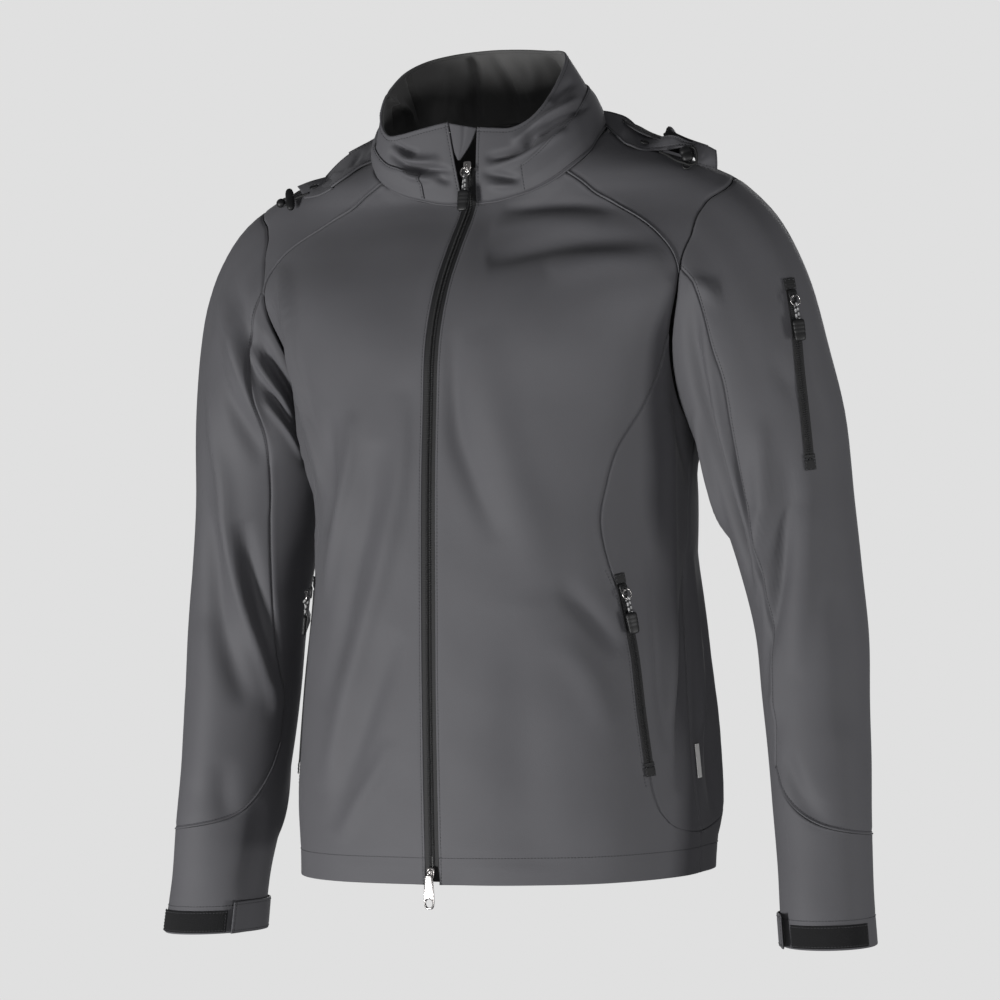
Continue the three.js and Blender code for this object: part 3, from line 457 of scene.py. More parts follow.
def patch(top: Array, bottom: Array, left: Array, right: Array) -> Array:
    """Fills a grid of pairs between four edges that meet at the corners.

    Args:
        top: first row.
        bottom: last row.
        left: first column.
        right: last column.

    Returns:
        The grid, rows by columns by two.
    """
    v = np.linspace(0, 1, len(left))[:, None, None]
    u = np.linspace(0, 1, len(top))[None, :, None]
    sides = (1 - v) * top[None] + v * bottom[None] + (1 - u) * left[:, None] + u * right[:, None]
    corners = ((1 - u) * (1 - v) * top[0] + u * (1 - v) * top[-1] + (1 - u) * v * bottom[0]
               + u * v * bottom[-1])
    return sides - corners


def settled(p: Array) -> Array:
    """Drops the shoulders a little on the wearer's right, where they hang lower.

    Args:
        p: points in millimetres.

    Returns:
        The points after the lean.
    """
    out = p.copy()
    out[..., 2] += 0.028 * p[..., 0] * (0.5 + 0.5 * ramp(p[..., 2], -420, -60))
    return out


class Edge(Enum):
    """How the border of a piece of cloth is finished."""

    SEAM = "seam"  # sinks into the seam
    PIPED = "piped"  # stands up beside the seam
    FREE = "free"  # rounded free edge
    PLAIN = "plain"  # runs on under another piece


@dataclass(frozen=True)
class Border:
    """One border of a piece: its finish and the distances of its stitch lines, in millimetres."""

    edge: Edge = Edge.SEAM
    stitches: tuple[float, ...] = ()
    span: tuple[float, float] = (0.0, 1.0)
    sunk: float = 0.3


@dataclass(frozen=True)
class Fold:
    """A soft ridge or trough along a line on a surface."""

    line: Sequence[Sequence[float]]
    wide: float
    high: float
    steep: float = 1.0  # share of the width on the line's left side
    fade: float = 0.7


@dataclass
class Relief:
    """All the folds of one surface and its gentle unevenness."""

    surface: Surface
    folds: Sequence[Fold] = ()
    uneven: float = 0.5
    seed: int = 1
    mirrored: bool = False
    gain: float = 1.0

    def height(self, p: Array, n: Array) -> Array:
        """Works out how far the cloth stands off its surface.

        Args:
            p: points on the surface, in millimetres.
            n: unit vectors out of it.

        Returns:
            Heights in millimetres.
        """
        flat, out = p.reshape(-1, 3), n.reshape(-1, 3)
        total = self._waves(flat)
        for fold in self.folds:
            total = total + self.gain * self._one(fold, flat, out)
        return total.reshape(p.shape[:-1])

    def _waves(self, p: Array) -> Array:
        rng = np.random.default_rng(self.seed)
        total = np.zeros(len(p))
        for _ in range(14):
            way = rng.normal(size=3) * [1, 1, 0.55]
            way *= 2 * math.pi / rng.uniform(55, 150) / np.linalg.norm(way)
            total += np.sin(p @ way + rng.uniform(0, 6.3))
        return total * self.uneven / 3.7

    def _one(self, fold: Fold, p: Array, n: Array) -> Array:
        pairs = smooth(fold.line, np.linspace(0, len(fold.line) - 1, 6 * len(fold.line)))
        line = self.surface.point(pairs[:, 0], pairs[:, 1])
        reach = 3 * fold.wide
        total = np.zeros(len(p))
        near = np.all((p > line.min(0) - reach) & (p < line.max(0) + reach), axis=1)
        if not near.any():
            return total
        q, m = p[near], n[near]
        a, d = line[:-1], np.diff(line, axis=0)
        share = np.clip(np.einsum("pij,ij->pi", q[:, None] - a[None], d) / (d**2).sum(1), 0, 1)
        gap = q[:, None] - (a[None] + share[..., None] * d[None])
        far = (gap**2).sum(2)
        k = far.argmin(1)
        pick = np.arange(len(q))
        along = (k + share[pick, k]) / len(d)
        side = np.einsum("pi,pi->p", np.cross(m, d[k]), gap[pick, k])
        wide = np.where(side > 0, fold.wide * fold.steep, fold.wide)
        fade = np.clip(4 * along * (1 - along), 0, 1) ** fold.fade
        total[near] = fold.high * np.exp(-far[pick, k] / wide**2) * fade
        return total


@dataclass
class Stitches:
    """Collects stitch lines as points and directions out of the cloth."""

    runs: list[tuple[Array, Array]] = field(default_factory=list)
    pitch: float = 3.1
    long: float = 2.1
    thick: float = 0.36

    def add(self, points: Array, out: Array) -> None:
        """Adds one line of stitches.

        Args:
            points: the line, in millimetres, already settled.
            out: directions out of the cloth.
        """
        self.runs.append((points, out))

    def mesh(self) -> tuple[Array, Array]:
        """Builds every stitch as a small rounded bar.

        Returns:
            Vertices in millimetres and quads.
        """
        centres, ways, outs = [], [], []
        for pts, out in self.runs:
            run = run_of(pts)
            count = int(run[-1] / self.pitch)
            if count < 1:
                continue
            at = (np.arange(count) + 0.5) * run[-1] / count
            spot = np.stack([np.interp(at, run, pts[:, k]) for k in range(3)], -1)
            ahead = np.stack([np.interp(at + 0.8, run, pts[:, k]) for k in range(3)], -1)
            back = np.stack([np.interp(at - 0.8, run, pts[:, k]) for k in range(3)], -1)
            centres.append(spot)
            ways.append(unit(ahead - back))
            outs.append(unit(np.stack([np.interp(at, run, out[:, k]) for k in range(3)], -1)))
        return bars(np.concatenate(centres), np.concatenate(ways), np.concatenate(outs), self.long,
                    self.thick)


def bars(c: Array, w: Array, o: Array, long: float, thick: float, flat: float = 0.8) -> tuple[Array, Array]:
    """Builds small rounded bars, such as stitches or the elements of a zip.

    Args:
        c: middles of the bars, in millimetres.
        w: unit vectors along them.
        o: unit vectors out of the cloth.
        long: their length.
        thick: half their width.
        flat: their height as a share of the width.

    Returns:
        Vertices in millimetres and quads.
    """
    s = unit(np.cross(o, w))
    stations = [(-0.5, 0.0, -0.4), (-0.4, 0.75, 0.0), (0.0, 1.0, 0.35), (0.4, 0.75, 0.0), (0.5, 0.0, -0.4)]
    ring = 6
    turn = 2 * np.pi * np.arange(ring) / ring
    local = np.concatenate([
        np.stack([np.full(ring, along * long), np.cos(turn) * (size + 0.02) * thick,
                  np.sin(turn) * (size + 0.02) * thick * flat + lift * thick], -1)
        for along, size, lift in stations])
    verts = (c[:, None] + local[None, :, :1] * w[:, None] + local[None, :, 1:2] * s[:, None]
             + local[None, :, 2:] * o[:, None])
    quads = [[i * ring + j, i * ring + (j + 1) % ring, (i + 1) * ring + (j + 1) % ring, (i + 1) * ring + j]
             for i in range(len(stations) - 1) for j in range(ring)]
    caps = [[3, 2, 1, 0], [5, 4, 3, 0], [24, 25, 26, 27], [24, 27, 28, 29]]
    one = np.array([q[::-1] for q in quads] + [cap[::-1] for cap in caps])
    every = one[None] + (np.arange(len(c)) * len(local))[:, None, None]
    return verts.reshape(-1, 3), every.reshape(-1, 4)


def placed_mesh(name: str, verts: Array, faces: Array, material: bpy.types.Material,
                uv: Array | None = None, flat: bool = False) -> bpy.types.Object:
    """Makes a mesh object from points in millimetres.

    Args:
        name: name of the object.
        verts: points, settled, in millimetres.
        faces: faces of three or four points each.
        material: its finish.
        uv: a pair of numbers for each point.
        flat: whether the faces are shaded flat.

    Returns:
        The new object.
    """
    mesh = bpy.data.meshes.new(name)
    n, k = faces.shape
    mesh.vertices.add(len(verts))
    mesh.vertices.foreach_set("co", (verts * MM).astype(np.float32).ravel())
    mesh.loops.add(n * k)
    mesh.loops.foreach_set("vertex_index", faces.astype(np.int32).ravel())
    mesh.polygons.add(n)
    mesh.polygons.foreach_set("loop_start", np.arange(0, n * k, k, dtype=np.int32))
    mesh.polygons.foreach_set("loop_total", np.full(n, k, dtype=np.int32))
    mesh.polygons.foreach_set("use_smooth", np.full(n, not flat))
    if uv is not None:
        layer = mesh.uv_layers.new(name="flat")
        layer.data.foreach_set("uv", uv[faces.ravel()].astype(np.float32).ravel())
    mesh.update(calc_edges=True)
    mesh.validate()
    mesh.materials.append(material)
    made = bpy.data.objects.new(name, mesh)
    bpy.context.scene.collection.objects.link(made)
    return made


def wall_faces(rows: int, cols: int, turned: bool) -> Array:
    """Lists the faces of a wall between an outer and an inner grid of points.

    Args:
        rows: rows of each grid.
        cols: columns of each grid.
        turned: whether the winding is turned over.

    Returns:
        Quads over the outer grid's points followed by the inner grid's.
    """
    ids = np.arange(rows * cols).reshape(rows, cols)
    far = ids + rows * cols

    def quads(a: Array, b: Array, c: Array, d: Array) -> Array:
        return np.stack([x.ravel() for x in (a, b, c, d)], -1)

    parts = [
        quads(ids[:-1, :-1], ids[:-1, 1:], ids[1:, 1:], ids[1:, :-1]),
        quads(far[:-1, :-1], far[1:, :-1], far[1:, 1:], far[:-1, 1:]),
        quads(ids[0, :-1], far[0, :-1], far[0, 1:], ids[0, 1:]),
        quads(ids[-1, :-1], ids[-1, 1:], far[-1, 1:], far[-1, :-1]),
        quads(ids[:-1, 0], ids[1:, 0], far[1:, 0], far[:-1, 0]),
        quads(ids[:-1, -1], far[:-1, -1], far[1:, -1], ids[1:, -1]),
    ]
    every = np.concatenate(parts)
    return every[:, ::-1] if turned else every


BORDER_LINES = np.array([0.45, 1.0, 1.7, 2.6, 3.7])
SIDES = ("top", "bottom", "left", "right")


@dataclass
class Cloth:
    """One cut piece of cloth: a grid of pairs on a surface, with its borders, thickness and relief."""

    name: str
    cells: Array
    surface: Surface
    borders: dict[str, Border]
    relief: Relief | None = None
    thick: float | Callable[[Array, Array], Array] = 1.6
    lift: float | Callable[[Array, Array], Array] = 0.0
    flip: bool = False
    lines: Array = field(default_factory=lambda: BORDER_LINES)

    def build(self, stitches: Stitches) -> tuple[Array, Array, Array, float]:
        """Builds the wall of cloth and its stitch lines.

        Args:
            stitches: where the stitch lines are collected.

        Returns:
            Points in millimetres, faces, flat places of the points, and the area of one side in mm2.
        """
        cells = self._lined(self.cells)
        a, b = cells[..., 0], cells[..., 1]
        turn = np.array([-1.0, 1, 1]) if self.flip else np.ones(3)
        p = self.surface.point(a, b) * turn
        n = self.surface.normal(a, b) * turn
        gaps = self._distances(p)
        thick = self.thick(a, b) if callable(self.thick) else np.full(a.shape, float(self.thick))
        lift = self.lift(a, b) if callable(self.lift) else np.full(a.shape, float(self.lift))
        rise = self.relief.height(p, n) if self.relief else np.zeros(a.shape)
        outer, inner = rise + lift, rise + lift - thick
        for side in SIDES:
            border, d = self.borders.get(side, Border(Edge.PLAIN)), gaps[side]
            within = self._within(border, side, a.shape)
            if border.edge is Edge.SEAM:
                drop = -1.3 * np.exp(-((d / 1.4) ** 2)) + 0.3 * np.exp(-(((d - 4.5) / 2.6) ** 2))
                outer, inner = outer + drop, inner + 0.5 * drop
            elif border.edge is Edge.PIPED:
                ridge = 1.15 * np.exp(-(((d - 1.15) / 0.85) ** 2)) - 0.5 * np.exp(-(((d - 3.2) / 0.9) ** 2))
                outer = outer + ridge - 0.4 * np.exp(-((d / 0.35) ** 2))
            elif border.edge is Edge.FREE:
                r = thick / 2
                near = np.clip(r - d, 0, r)
                delta = 0.92 * (r - np.sqrt(np.maximum(r**2 - near**2, 0)))
                outer, inner = outer - delta, inner + delta
            for at in border.stitches:
                outer = outer - border.sunk * np.exp(-(((d - at) / 1.1) ** 2)) * within
        top, under = p + n * outer[..., None], p + n * inner[..., None]
        top, under = settled(top), settled(under)
        facing = self._facing(top, n)
        for side in SIDES:
            border = self.borders.get(side, Border(Edge.PLAIN))
            for at in border.stitches:
                self._stitch(stitches, side, border, at, top, facing[0], gaps[side])
        rows, cols = a.shape
        verts = np.concatenate([top.reshape(-1, 3), under.reshape(-1, 3)])
        flat = np.stack([gaps["left"], gaps["top"]], -1).reshape(-1, 2)
        area = self._area(top)
        return verts, wall_faces(rows, cols, facing[1] < 0), np.concatenate([flat, flat]) * MM, area

    def _lined(self, cells: Array) -> Array:
        for axis in (1, 0):
            for end in (0, -1):
                work = cells if axis == 0 else cells.swapaxes(0, 1)
                first, second = (work[0], work[1]) if end == 0 else (work[-1], work[-2])
                gap = np.linalg.norm(self.surface.point(first[:, 0], first[:, 1])
                                     - self.surface.point(second[:, 0], second[:, 1]), axis=-1)
                share = self.lines[:, None] / np.maximum(gap, self.lines[-1] * 1.2)[None]
                new = first[None] + (second - first)[None] * share[..., None]
                parts = [work[:1], new, work[1:]] if end == 0 else [work[:-1], new[::-1], work[-1:]]
                work = np.concatenate(parts)
                cells = work if axis == 0 else work.swapaxes(0, 1)
        return cells

    @staticmethod
    def _distances(p: Array) -> dict[str, Array]:
        down = np.linalg.norm(np.diff(p, axis=0), axis=-1)
        across = np.linalg.norm(np.diff(p, axis=1), axis=-1)
        rows, cols = p.shape[:2]
        top = np.concatenate([np.zeros((1, cols)), np.cumsum(down, 0)])
        left = np.concatenate([np.zeros((rows, 1)), np.cumsum(across, 1)], 1)
        return {"top": top, "bottom": top[-1:] - top, "left": left, "right": left[:, -1:] - left}

    @staticmethod
    def _within(border: Border, side: str, shape: tuple[int, ...]) -> Array:
        low, high = border.span
        if side in ("left", "right"):
            share = np.linspace(0, 1, shape[0])[:, None]
        else:
            share = np.linspace(0, 1, shape[1])[None, :]
        return np.broadcast_to((share >= low) & (share <= high), shape).astype(float)

    @staticmethod
    def _facing(top: Array, n: Array) -> tuple[Array, float]:
        down, across = np.gradient(top, axis=0), np.gradient(top, axis=1)
        cross = np.cross(across, down)
        sign = float(np.sign(np.einsum("ijk,ijk->ij", cross, n).mean()))
        return unit(cross) * sign, -sign

    def _stitch(self, stitches: Stitches, side: str, border: Border, at: float, top: Array, out: Array,
                gap: Array) -> None:
        if side in ("top", "bottom"):
            top, out, gap = top.swapaxes(0, 1), out.swapaxes(0, 1), gap.T
        if side in ("bottom", "right"):
            top, out, gap = top[:, ::-1], out[:, ::-1], gap[:, ::-1]
        n = len(top)
        i = np.clip((gap < at).sum(1), 1, gap.shape[1] - 1)
        pick = np.arange(n)
        under, over = gap[pick, i - 1], gap[pick, i]
        t = np.clip((at - under) / np.maximum(over - under, 1e-6), 0, 1)[:, None]
        line = top[pick, i - 1] * (1 - t) + top[pick, i] * t
        up = unit(out[pick, i - 1] * (1 - t) + out[pick, i] * t)
        low, high = (int(round(s * (n - 1))) for s in border.span)
        stitches.add((line + up * 0.12)[low:high + 1], up[low:high + 1])

    @staticmethod
    def _area(top: Array) -> float:
        down, across = np.diff(top, axis=0)[:, :-1], np.diff(top, axis=1)[:-1]
        return float(np.linalg.norm(np.cross(down, across), axis=-1).sum())


class Value:
    """One socket of a shader, with the usual arithmetic."""

    def __init__(self, graph: "Graph", socket: bpy.types.NodeSocket) -> None:
        """Wraps a socket.

        Args:
            graph: the shader that it is in.
            socket: an output socket.
        """
        self.graph, self.socket = graph, socket

    def _math(self, kind: str, other: "Value | float", swap: bool = False) -> "Value":
        pair = (other, self) if swap else (self, other)
        return self.graph.node("ShaderNodeMath", {0: pair[0], 1: pair[1]}, operation=kind)

    def __add__(self, other: "Value | float") -> "Value":
        return self._math("ADD", other)

    def __sub__(self, other: "Value | float") -> "Value":
        return self._math("SUBTRACT", other)

    def __mul__(self, other: "Value | float") -> "Value":
        return self._math("MULTIPLY", other)

    def above(self, other: float) -> "Value":
        """Gives 1 where the value is over a limit, else 0.

        Args:
            other: the limit.

        Returns:
            The answer as a value.
        """
        return self._math("GREATER_THAN", other)


class Graph:
    """The shader of one material."""

    def __init__(self, name: str) -> None:
        """Starts a material.

        Args:
            name: its name.
        """
        self.material = bpy.data.materials.new(name)
        self.material.use_nodes = True
        self.tree = self.material.node_tree
        self.shader = next(n for n in self.tree.nodes if n.type == "BSDF_PRINCIPLED")

    def node(self, kind: str, inputs: dict | None = None, output: int | str = 0, **settings: object) -> Value:
        """Adds a node.

        Args:
            kind: type of node.
            inputs: values or constants by socket.
            output: socket that is returned.
            settings: other settings of the node.

        Returns:
            The chosen output.
        """
        made = self.tree.nodes.new(kind)
        for key, value in settings.items():
            setattr(made, key, value)
        for key, value in (inputs or {}).items():
            if isinstance(value, Value):
                self.tree.links.new(value.socket, made.inputs[key])
            else:
                made.inputs[key].default_value = value
        return Value(self, made.outputs[output])

    def give(self, key: str, value: "Value | float | tuple") -> None:
        """Sets an input of the surface shader.

        Args:
            key: name of the input.
            value: a value or a constant.
        """
        if isinstance(value, Value):
            self.tree.links.new(value.socket, self.shader.inputs[key])
        else:
            self.shader.inputs[key].default_value = value

    def spots(self, scale: float, detail: float = 2.0) -> Value:
        """Adds a cloudy pattern in the object's own space.

        Args:
            scale: spots for each metre.
            detail: how fine it goes.

        Returns:
            The pattern from 0 to 1.
        """
        place = self.node("ShaderNodeTexCoord", output="Object")
        return self.node("ShaderNodeTexNoise", {"Vector": place, "Scale": scale, "Detail": detail},
                         output="Fac")

    def waves(self, scale: float, across: bool) -> Value:
        """Adds straight ribs over the flat places of a piece.

        Args:
            scale: ribs for each metre.
            across: whether they run across the piece.

        Returns:
            The ribs from 0 to 1.
        """
        place = self.node("ShaderNodeUVMap", output="UV", uv_map="flat")
        way = "Y" if across else "X"
        inputs = {"Vector": place, "Scale": scale / 20 * 2 * math.pi / 2}
        return self.node("ShaderNodeTexWave", inputs, output="Fac", bands_direction=way)

    def mixed(self, share: "Value | float", a: tuple, b: tuple) -> Value:
        """Mixes two colours.

        Args:
            share: share of the second colour.
            a: first colour.
            b: second colour.

        Returns:
            The colour.
        """
        inputs = {0: share, 6: (*a, 1), 7: (*b, 1)}
        return self.node("ShaderNodeMix", inputs, output=2, data_type="RGBA")

    def bump(self, height: Value, depth: float, strength: float = 1.0) -> None:
        """Raises the surface by a pattern.

        Args:
            height: the pattern.
            depth: its depth in metres.
            strength: its share that is used.
        """
        self.give("Normal", self.node("ShaderNodeBump",
                                      {"Height": height, "Distance": depth, "Strength": strength},
                                      output="Normal"))


@dataclass(frozen=True)
class Finish:
    """How a material looks."""

    name: str
    dark: tuple[float, float, float]
    light: tuple[float, float, float]
    rough: float
    metal: float = 0.0
    grain: float = 0.0
    depth: float = 0.0
    sheen: float = 0.0
    ribs: float = 0.0
    strands: float = 0.0

    def material(self) -> bpy.types.Material:
        """Builds the material.

        Returns:
            The Blender material.
        """
        g = Graph(self.name)
        g.give("Metallic", self.metal)
        g.give("Roughness", self.rough)
        g.give("Sheen Weight", self.sheen)
        g.give("Sheen Roughness", 0.5)
        if self.strands:
            mark = g.waves(self.strands, True).above(0.62)
            g.give("Base Color", g.mixed(mark, self.light, self.dark))
            g.bump(g.waves(self.strands * 2, True), 0.0003)
            return g.material
        cloudy = g.spots(24.0, 3.0) * 0.6 + g.spots(self.grain or 300.0, 2.0) * 0.4
        g.give("Base Color", g.mixed(cloudy, self.dark, self.light))
        if self.ribs:
            g.bump(g.waves(self.ribs, True) * 0.6 + g.spots(self.grain or 900.0, 2.0) * 0.4, self.depth)
        elif self.depth:
            g.bump(g.spots(self.grain, 3.0), self.depth)
        return g.material


FINISHES = {
    "shell": Finish("shell_cloth", (0.080, 0.079, 0.086), (0.100, 0.099, 0.108), 0.7, grain=1500,
                    depth=0.00016, sheen=0.08),
    "inside": Finish("inside_cloth", (0.090, 0.089, 0.088), (0.115, 0.114, 0.112), 0.9, grain=1200,
                     depth=0.0002, sheen=0.2),
    "tape": Finish("zip_tape", (0.0065, 0.0065, 0.007), (0.012, 0.012, 0.013), 0.7, grain=1500, depth=0.0001,
                   ribs=900),
    "coil": Finish("zip_coil", (0.006, 0.006, 0.0065), (0.012, 0.012, 0.0125), 0.55, grain=900,
                   depth=0.00004),
    "rubber": Finish("grip_rubber", (0.005, 0.005, 0.0055), (0.009, 0.009, 0.0095), 0.5, grain=900,
                     depth=0.00005),
    "metal": Finish("slider_metal", (0.42, 0.40, 0.39), (0.56, 0.54, 0.53), 0.26, metal=1.0, grain=300),
    "dark_metal": Finish("slider_black", (0.02, 0.02, 0.021), (0.03, 0.03, 0.031), 0.4, metal=0.4, grain=300),
    "cord": Finish("cord_black", (0.008, 0.008, 0.008), (0.016, 0.016, 0.016), 0.7, grain=1500, depth=0.0002),
    "braid": Finish("cord_braid", (0.05, 0.05, 0.052), (0.42, 0.42, 0.42), 0.75, strands=420),
    "thread": Finish("thread", (0.034, 0.034, 0.037), (0.055, 0.055, 0.06), 0.6, grain=2000),
    "loop": Finish("loop_tape", (0.004, 0.004, 0.0045), (0.010, 0.010, 0.011), 0.95, grain=1400,
                   depth=0.0009),
    "label": Finish("label", (0.93, 0.92, 0.89), (0.96, 0.95, 0.93), 0.8, grain=900, depth=0.00008),
    "dark": Finish("hood_inside", (0.030, 0.030, 0.032), (0.045, 0.045, 0.048), 0.92, grain=1200,
                   depth=0.0002),
}


def loft(rings: Array, closed_ends: bool = True) -> tuple[Array, Array]:
    """Joins closed rings of points into a solid.

    Args:
        rings: rings, each of the same number of points.
        closed_ends: whether both ends get a cap.

    Returns:
        Points and quads.
    """
    count, size = rings.shape[:2]
    ids = np.arange(count * size).reshape(count, size)
    nxt = np.roll(ids, -1, axis=1)
    faces = [np.stack([ids[:-1].ravel(), nxt[:-1].ravel(), nxt[1:].ravel(), ids[1:].ravel()], -1)]
    if closed_ends:
        half = size // 2
        for row, turned in ((ids[0], True), (ids[-1], False)):
            cap = np.array([[row[k], row[k + 1], row[size - 2 - k], row[size - 1 - k]]
                            for k in range(half - 1)])
            faces.append(cap[:, ::-1] if turned else cap)
    return rings.reshape(-1, 3), np.concatenate(faces)


def swept(line: Array, radius: float | Array, size: int = 12, up: Sequence[float] = (0.3, 0.2, 1)) -> Array:
    """Rings of a round tube along a line.

    Args:
        line: points of the line.
        radius: radius of the tube, one or one for each point.
        size: points in each ring.
        up: a direction that the line never runs along.

    Returns:
        The rings.
    """
    way = unit(np.gradient(line, axis=0))
    side = unit(np.cross(way, np.asarray(up, float)))
    over = np.cross(side, way)
    turn = 2 * np.pi * np.arange(size) / size
    r = np.broadcast_to(np.asarray(radius, float), (len(line),))[:, None, None]
    return line[:, None] + r * (np.cos(turn)[None, :, None] * side[:, None] + np.sin(turn)[None, :, None]
                                * over[:, None])


def rounded_bar(widths: Array, depths: Array, places: Array, power: float = 2.6, size: int = 24) -> Array:
    """Rings of a bar along y with rounded corners.

    Args:
        widths: half width of each ring.
        depths: half depth of each ring.
        places: y of each ring.
        power: squareness of the rings.
        size: points in each ring.

    Returns:
        The rings.
    """
    turn = 2 * np.pi * np.arange(size) / size
    c, s = np.cos(turn), np.sin(turn)
    x = np.sign(c) * np.abs(c) ** (2 / power)
    z = np.sign(s) * np.abs(s) ** (2 / power)
    return np.stack([widths[:, None] * x, np.broadcast_to(places[:, None], (len(places), size)),
                     -depths[:, None] * z], -1)


def torus(major: float, minor: float, centre: Sequence[float]) -> tuple[Array, Array]:
    """A ring of round wire in the x, y plane.

    Args:
        major: radius of the ring.
        minor: radius of the wire.
        centre: its middle.

    Returns:
        Points and quads.
    """
    around, size = 36, 12
    t = 2 * np.pi * np.arange(around) / around
    g = 2 * np.pi * np.arange(size) / size
    r = major + minor * np.cos(g)[None]
    pts = np.stack([r * np.cos(t)[:, None], r * np.sin(t)[:, None],
                    np.broadcast_to(minor * np.sin(g)[None], (around, size))], -1) + np.asarray(centre, float)
    ids = np.arange(around * size).reshape(around, size)
    low, right = np.roll(ids, -1, 0), np.roll(ids, -1, 1)
    far = np.roll(low, -1, 1)
    return pts.reshape(-1, 3), np.stack([x.ravel() for x in (ids, low, far, right)], -1)


@dataclass(frozen=True)
class Frame:
    """Where a small hard piece sits: its origin, and the ways across, along and out."""

    at: Array
    across: Array
    along: Array
    out: Array

    def put(self, local: Array) -> Array:
        """Moves points from the piece's own axes to the jacket.

        Args:
            local: points in the piece's own axes.

        Returns:
            Points in millimetres, settled as the solid is.
        """
        p = self.at + local[..., :1] * self.across + local[..., 1:2] * self.along + local[..., 2:] * self.out
        return settled(p)

    def moved(self, dx: float = 0.0, dy: float = 0.0, dz: float = 0.0) -> "Frame":
        """The same frame further along its own axes.

        Args:
            dx: across.
            dy: along.
            dz: out.

        Returns:
            The moved frame.
        """
        return Frame(self.at + dx * self.across + dy * self.along + dz * self.out, self.across, self.along,
                     self.out)

    def mirrored(self) -> "Frame":
        """The same frame on the other side of the jacket.

        Returns:
            The mirrored frame.
        """
        m = np.array([-1.0, 1, 1])
        return Frame(self.at * m, self.across * m, self.along * m, self.out * m)


# Folds of the torso: line of (angle, height), width, height (minus for a trough), steep side's share.
TORSO_FOLDS = (
    Fold([[-72, -90], [-62.7, -125], [-58, -165], [-55.7, -197], [-52.7, -234], [-48, -274], [-47, -310]], 9,
         3.6, 0.6),
    Fold([[-76, -112], [-70, -140], [-68, -172], [-65, -207], [-60, -240]], 8, -2.8),
    Fold([[-84, -120], [-78, -190], [-70, -250], [-62, -310]], 8, 2.6, 0.6),
    Fold([[-86, -170], [-78, -230], [-70, -290], [-60, -350]], 9, -2.4),
    Fold([[-40.7, -235], [-41, -274], [-40, -309], [-43.3, -352]], 11, -2.2),
    Fold([[-30, -236], [-30, -278], [-33, -320], [-38.7, -363], [-45, -410]], 11, 1.9, 0.7),
    Fold([[-9.7, -220], [-9.3, -283], [-12.7, -338], [-19, -403], [-28, -468], [-37.3, -534], [-43, -590]],
         15, 2.4, 0.7),
    Fold([[-21, -265], [-22.7, -329], [-29.3, -385], [-36.3, -451], [-45, -515]], 14, -2.2),
    Fold([[-12, -440], [-22.3, -505], [-31, -560], [-41, -625]], 13, -1.7),
    Fold([[-14, -540], [-25, -588], [-38.3, -635]], 9, 1.3),
    Fold([[8.5, -165], [9, -218], [11, -265], [16.3, -309], [23, -360]], 11, -1.9),
    Fold([[20.3, -165], [23, -228], [26.3, -284], [31.3, -340], [36, -400]], 20, 1.8),
    Fold([[22, -101], [42.3, -90], [58, -84], [70, -92]], 13, -2.6),
    Fold([[23, -69], [49.7, -64.7], [66, -68.6]], 12, 1.4),
    Fold([[32, -49], [59.7, -49], [71, -57]], 7, -1.3),
    Fold([[46, -112], [61.7, -104], [72, -105]], 14, 1.8),
    Fold([[41, -398], [50, -427], [59.5, -464]], 10, -1.7),
    Fold([[41, -450], [50.3, -485], [57, -535]], 14, 1.2),
    Fold([[72, -372], [73.3, -462], [74.3, -556]], 9, -1.9),
    Fold([[91, -370], [86.7, -455], [82, -527], [78, -595]], 9, -3.0),
    Fold([[80.3, -240], [80.3, -343], [80.3, -435], [78.7, -530]], 11, 2.2, 0.7),
    Fold([[96, -380], [94, -460], [91, -540], [88, -600]], 8, 2.6, 0.7),
    Fold([[80, -205], [86, -259], [92, -310]], 9, -2.4),
    Fold([[100, -430], [99, -530], [98, -620]], 12, -3.0),
    Fold([[110, -380], [107, -500], [105, -640]], 14, 2.6),
    Fold([[30, -420], [31, -520], [33, -660]], 26, -1.6),
    Fold([[104, -260], [118, -285], [132, -300]], 14, 3.0, 0.6),
    Fold([[104, -290], [120, -320], [136, -335]], 13, -2.6),
    Fold([[256, -260], [242, -285], [228, -300]], 14, 3.0, 0.6),
    Fold([[256, -290], [240, -320], [224, -335]], 13, -2.6),
    Fold([[120, -160], [135, -190], [150, -200]], 18, -2.4),
    Fold([[240, -160], [225, -190], [210, -200]], 18, -2.4),
    Fold([[150, -330], [180, -345], [210, -330]], 20, -2.6),
    Fold([[140, -370], [175, -392], [222, -376]], 18, 2.6, 0.7),
    Fold([[148, -420], [180, -436], [205, -428]], 16, -1.8),
    Fold([[160, -460], [158, -560], [156, -660]], 26, 2.4),
    Fold([[204, -450], [206, -560], [204, -660]], 26, 2.4),
    Fold([[181, -440], [180, -560], [182, -668]], 28, -2.4),
    Fold([[230, -420], [233, -520], [236, -640]], 20, -2.6),
    Fold([[128, -430], [127, -520], [126, -640]], 20, -2.6),
)
